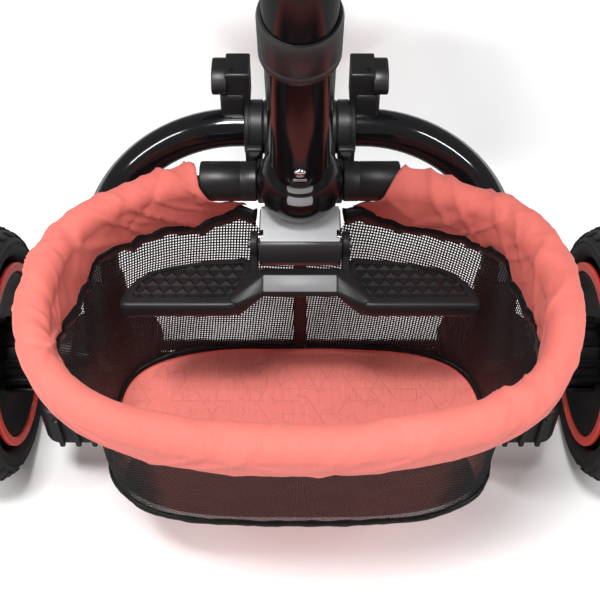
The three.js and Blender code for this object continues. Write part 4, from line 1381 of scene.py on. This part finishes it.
def stuffed(node, material, body, seams, pressure=4.0, move=0.010, detail=0.0055):
    """A padded pad: the node's solid blown up as cloth, held back along its stitched seams."""
    obj = piece(node + "_soft", NODES[node].data.copy(), material, body,
                node, crease=180)
    remesh = obj.modifiers.new("even", "REMESH")
    remesh.mode, remesh.voxel_size, remesh.use_smooth_shade = "VOXEL", detail, True
    apply_all(obj)
    group = obj.vertex_groups.new(name="seams")
    held = [v.index for v in obj.data.vertices if seams(v.co)]
    group.add(held, 1.0, "REPLACE")
    cloth = obj.modifiers.new("cloth", "CLOTH")
    cloth.settings.quality = 6
    cloth.settings.use_pressure = True
    cloth.settings.uniform_pressure_force = pressure
    cloth.settings.vertex_group_mass = "seams"
    cloth.settings.effector_weights.gravity = 0.0
    cloth.settings.tension_stiffness = 22
    cloth.settings.bending_stiffness = 0.6
    cloth.point_cache.frame_start, cloth.point_cache.frame_end = 1, 20
    rest = [v.co.copy() for v in obj.data.vertices]
    scene = bpy.context.scene
    for step in range(1, 21):
        scene.frame_set(step)
    apply_all(obj)
    scene.frame_set(1)
    for v, start in zip(obj.data.vertices, rest):
        away = v.co - start
        if away.length > move:
            v.co = start + away.normalized() * move
    smoother = obj.modifiers.new("fine", "SUBSURF")
    smoother.levels = smoother.render_levels = 1
    apply_all(obj)
    obj.data.shade_smooth()
    return obj


def apply_all(obj):
    shaped = obj.evaluated_get(bpy.context.evaluated_depsgraph_get())
    mesh = bpy.data.meshes.new_from_object(shaped)
    obj.modifiers.clear()
    obj.data = mesh


HALF_SEAM = 3


def soft_goods():
    def cushion_seam(co):
        x, y, z = abs(co.x / MM), abs((co.y - AXLE_Y) / MM - 197), co.z / MM
        square = abs(x - 62) < HALF_SEAM and y < 62 or y < HALF_SEAM and x < 62
        return z < 506.5 or z > 512 and square

    stuffed("seat_cushion", PAD_CLOTH, "seat", cushion_seam)

    def local(co):
        return (RECLINE.inverted() @ co) / MM

    def back_seam(co):
        x, y, z = local(co)
        upright = abs(abs(x) - 72) < HALF_SEAM and 60 < z < 390
        level = min(abs(z - 130), abs(z - 220)) < HALF_SEAM and abs(x) < 72
        return y < 2.5 or y > 12 and (upright or level)

    stuffed("back_cushion", PAD_CLOTH, "backrest", back_seam)
    stuffed("head_pillow", PAD_CLOTH, "backrest", lambda co: local(co).y < 28.5, 3.0, 0.008)
    for name in SIDES.values():
        stuffed(f"shoulder_pad_{name}", DARK_CLOTH, "backrest", lambda co: local(co).y < 28.0,
                3.0, 0.004, 0.004)
    stuffed("leg_cushion", PAD_CLOTH, "leg_rest", lambda co: co.y < AXLE_Y + 0.3045, 3.0, 0.006)
    buckle = soften(NODES["harness_buckle"].data.copy(), 1.2)
    piece("harness_buckle_fine", buckle, GLOSSY, "seat", "harness_buckle", crease=50)


# ------------------------------------------------------------------ floor and light
# The air's strength for most rays, and for the ones that make reflections.
AIR = (0.56, 0.16)


def studio():
    mesh = mesh_of([Vector(p) for p in ((-9, -9, 0), (9, -9, 0), (9, 9, 0), (-9, 9, 0))],
                   [(0, 1, 2, 3)])
    floor = placed("studio_floor", mesh)
    white = Look("studio_white", (0.93, 0.93, 0.93), 0.9)
    # Near the middle the floor turns dark grey for reflection rays only, fully within 0.55 m and
    # fading out by 0.95 m: painted shade round the stroller, seen only in its reflections.
    far = white.node("ShaderNodeVectorMath", operation="LENGTH")
    white.link(white.coords, far.inputs[0])
    shade_near_middle = white.ramp(far.outputs["Value"], 0.55, 0.95, 1.0, 0.0)
    glossy = white.node("ShaderNodeLightPath").outputs["Is Glossy Ray"]
    white.tint(white.math("MULTIPLY", glossy, shade_near_middle), (0.20, 0.20, 0.20))
    floor.data.materials.append(white.material)
    floor.location.z = -0.0005

    world = bpy.data.worlds.new("studio_air")
    world.use_nodes = True
    nodes, links = world.node_tree.nodes, world.node_tree.links
    nodes["Background"].inputs["Color"].default_value = (1, 1, 1, 1)
    path, level = nodes.new("ShaderNodeLightPath"), nodes.new("ShaderNodeMapRange")
    links.new(path.outputs["Is Glossy Ray"], level.inputs["Value"])
    level.inputs["To Min"].default_value, level.inputs["To Max"].default_value = AIR
    links.new(level.outputs["Result"], nodes["Background"].inputs["Strength"])
    bpy.context.scene.world = world

    aim = at(0, -60, 250)

    def lamp(name, place, size, power):
        data = bpy.data.lights.new(name, "AREA")
        data.shape = "RECTANGLE"
        data.size, data.size_y = size
        data.energy = power
        obj = placed(name, data)
        obj.location = place
        obj.rotation_euler = (aim - place).to_track_quat("-Z", "Y").to_euler()

    lamp("key", at(-250, -700, 2300), (0.50, 0.30), 44)
    lamp("front_box", at(0, 1100, 1500), (0.34, 0.34), 7)
    for side, name in SIDES.items():
        lamp(f"strip_{name}", at(side * 1100, -600, 1300), (0.10, 0.8), 8)
    bpy.context.scene.view_settings.view_transform = "Standard"


for build in (hoop, clamps, sockets, hub, adapters, basket, basket_bindings, centre_strap,
              axle, housings, rear_wheels, front_wheel, fork, steering_head, spine, seat_stem,
              knuckle, footrest, handle_ball, push_tube, handle_rings, latch_button, handle_top,
              turntable, seat_pan, backrest, leg_rest, bumper, soft_goods):
    build()
for bare in ("axle_rod", "basket_rim", "hinge_pin", "front_axle"):
    keep(bare, STEEL)
studio()
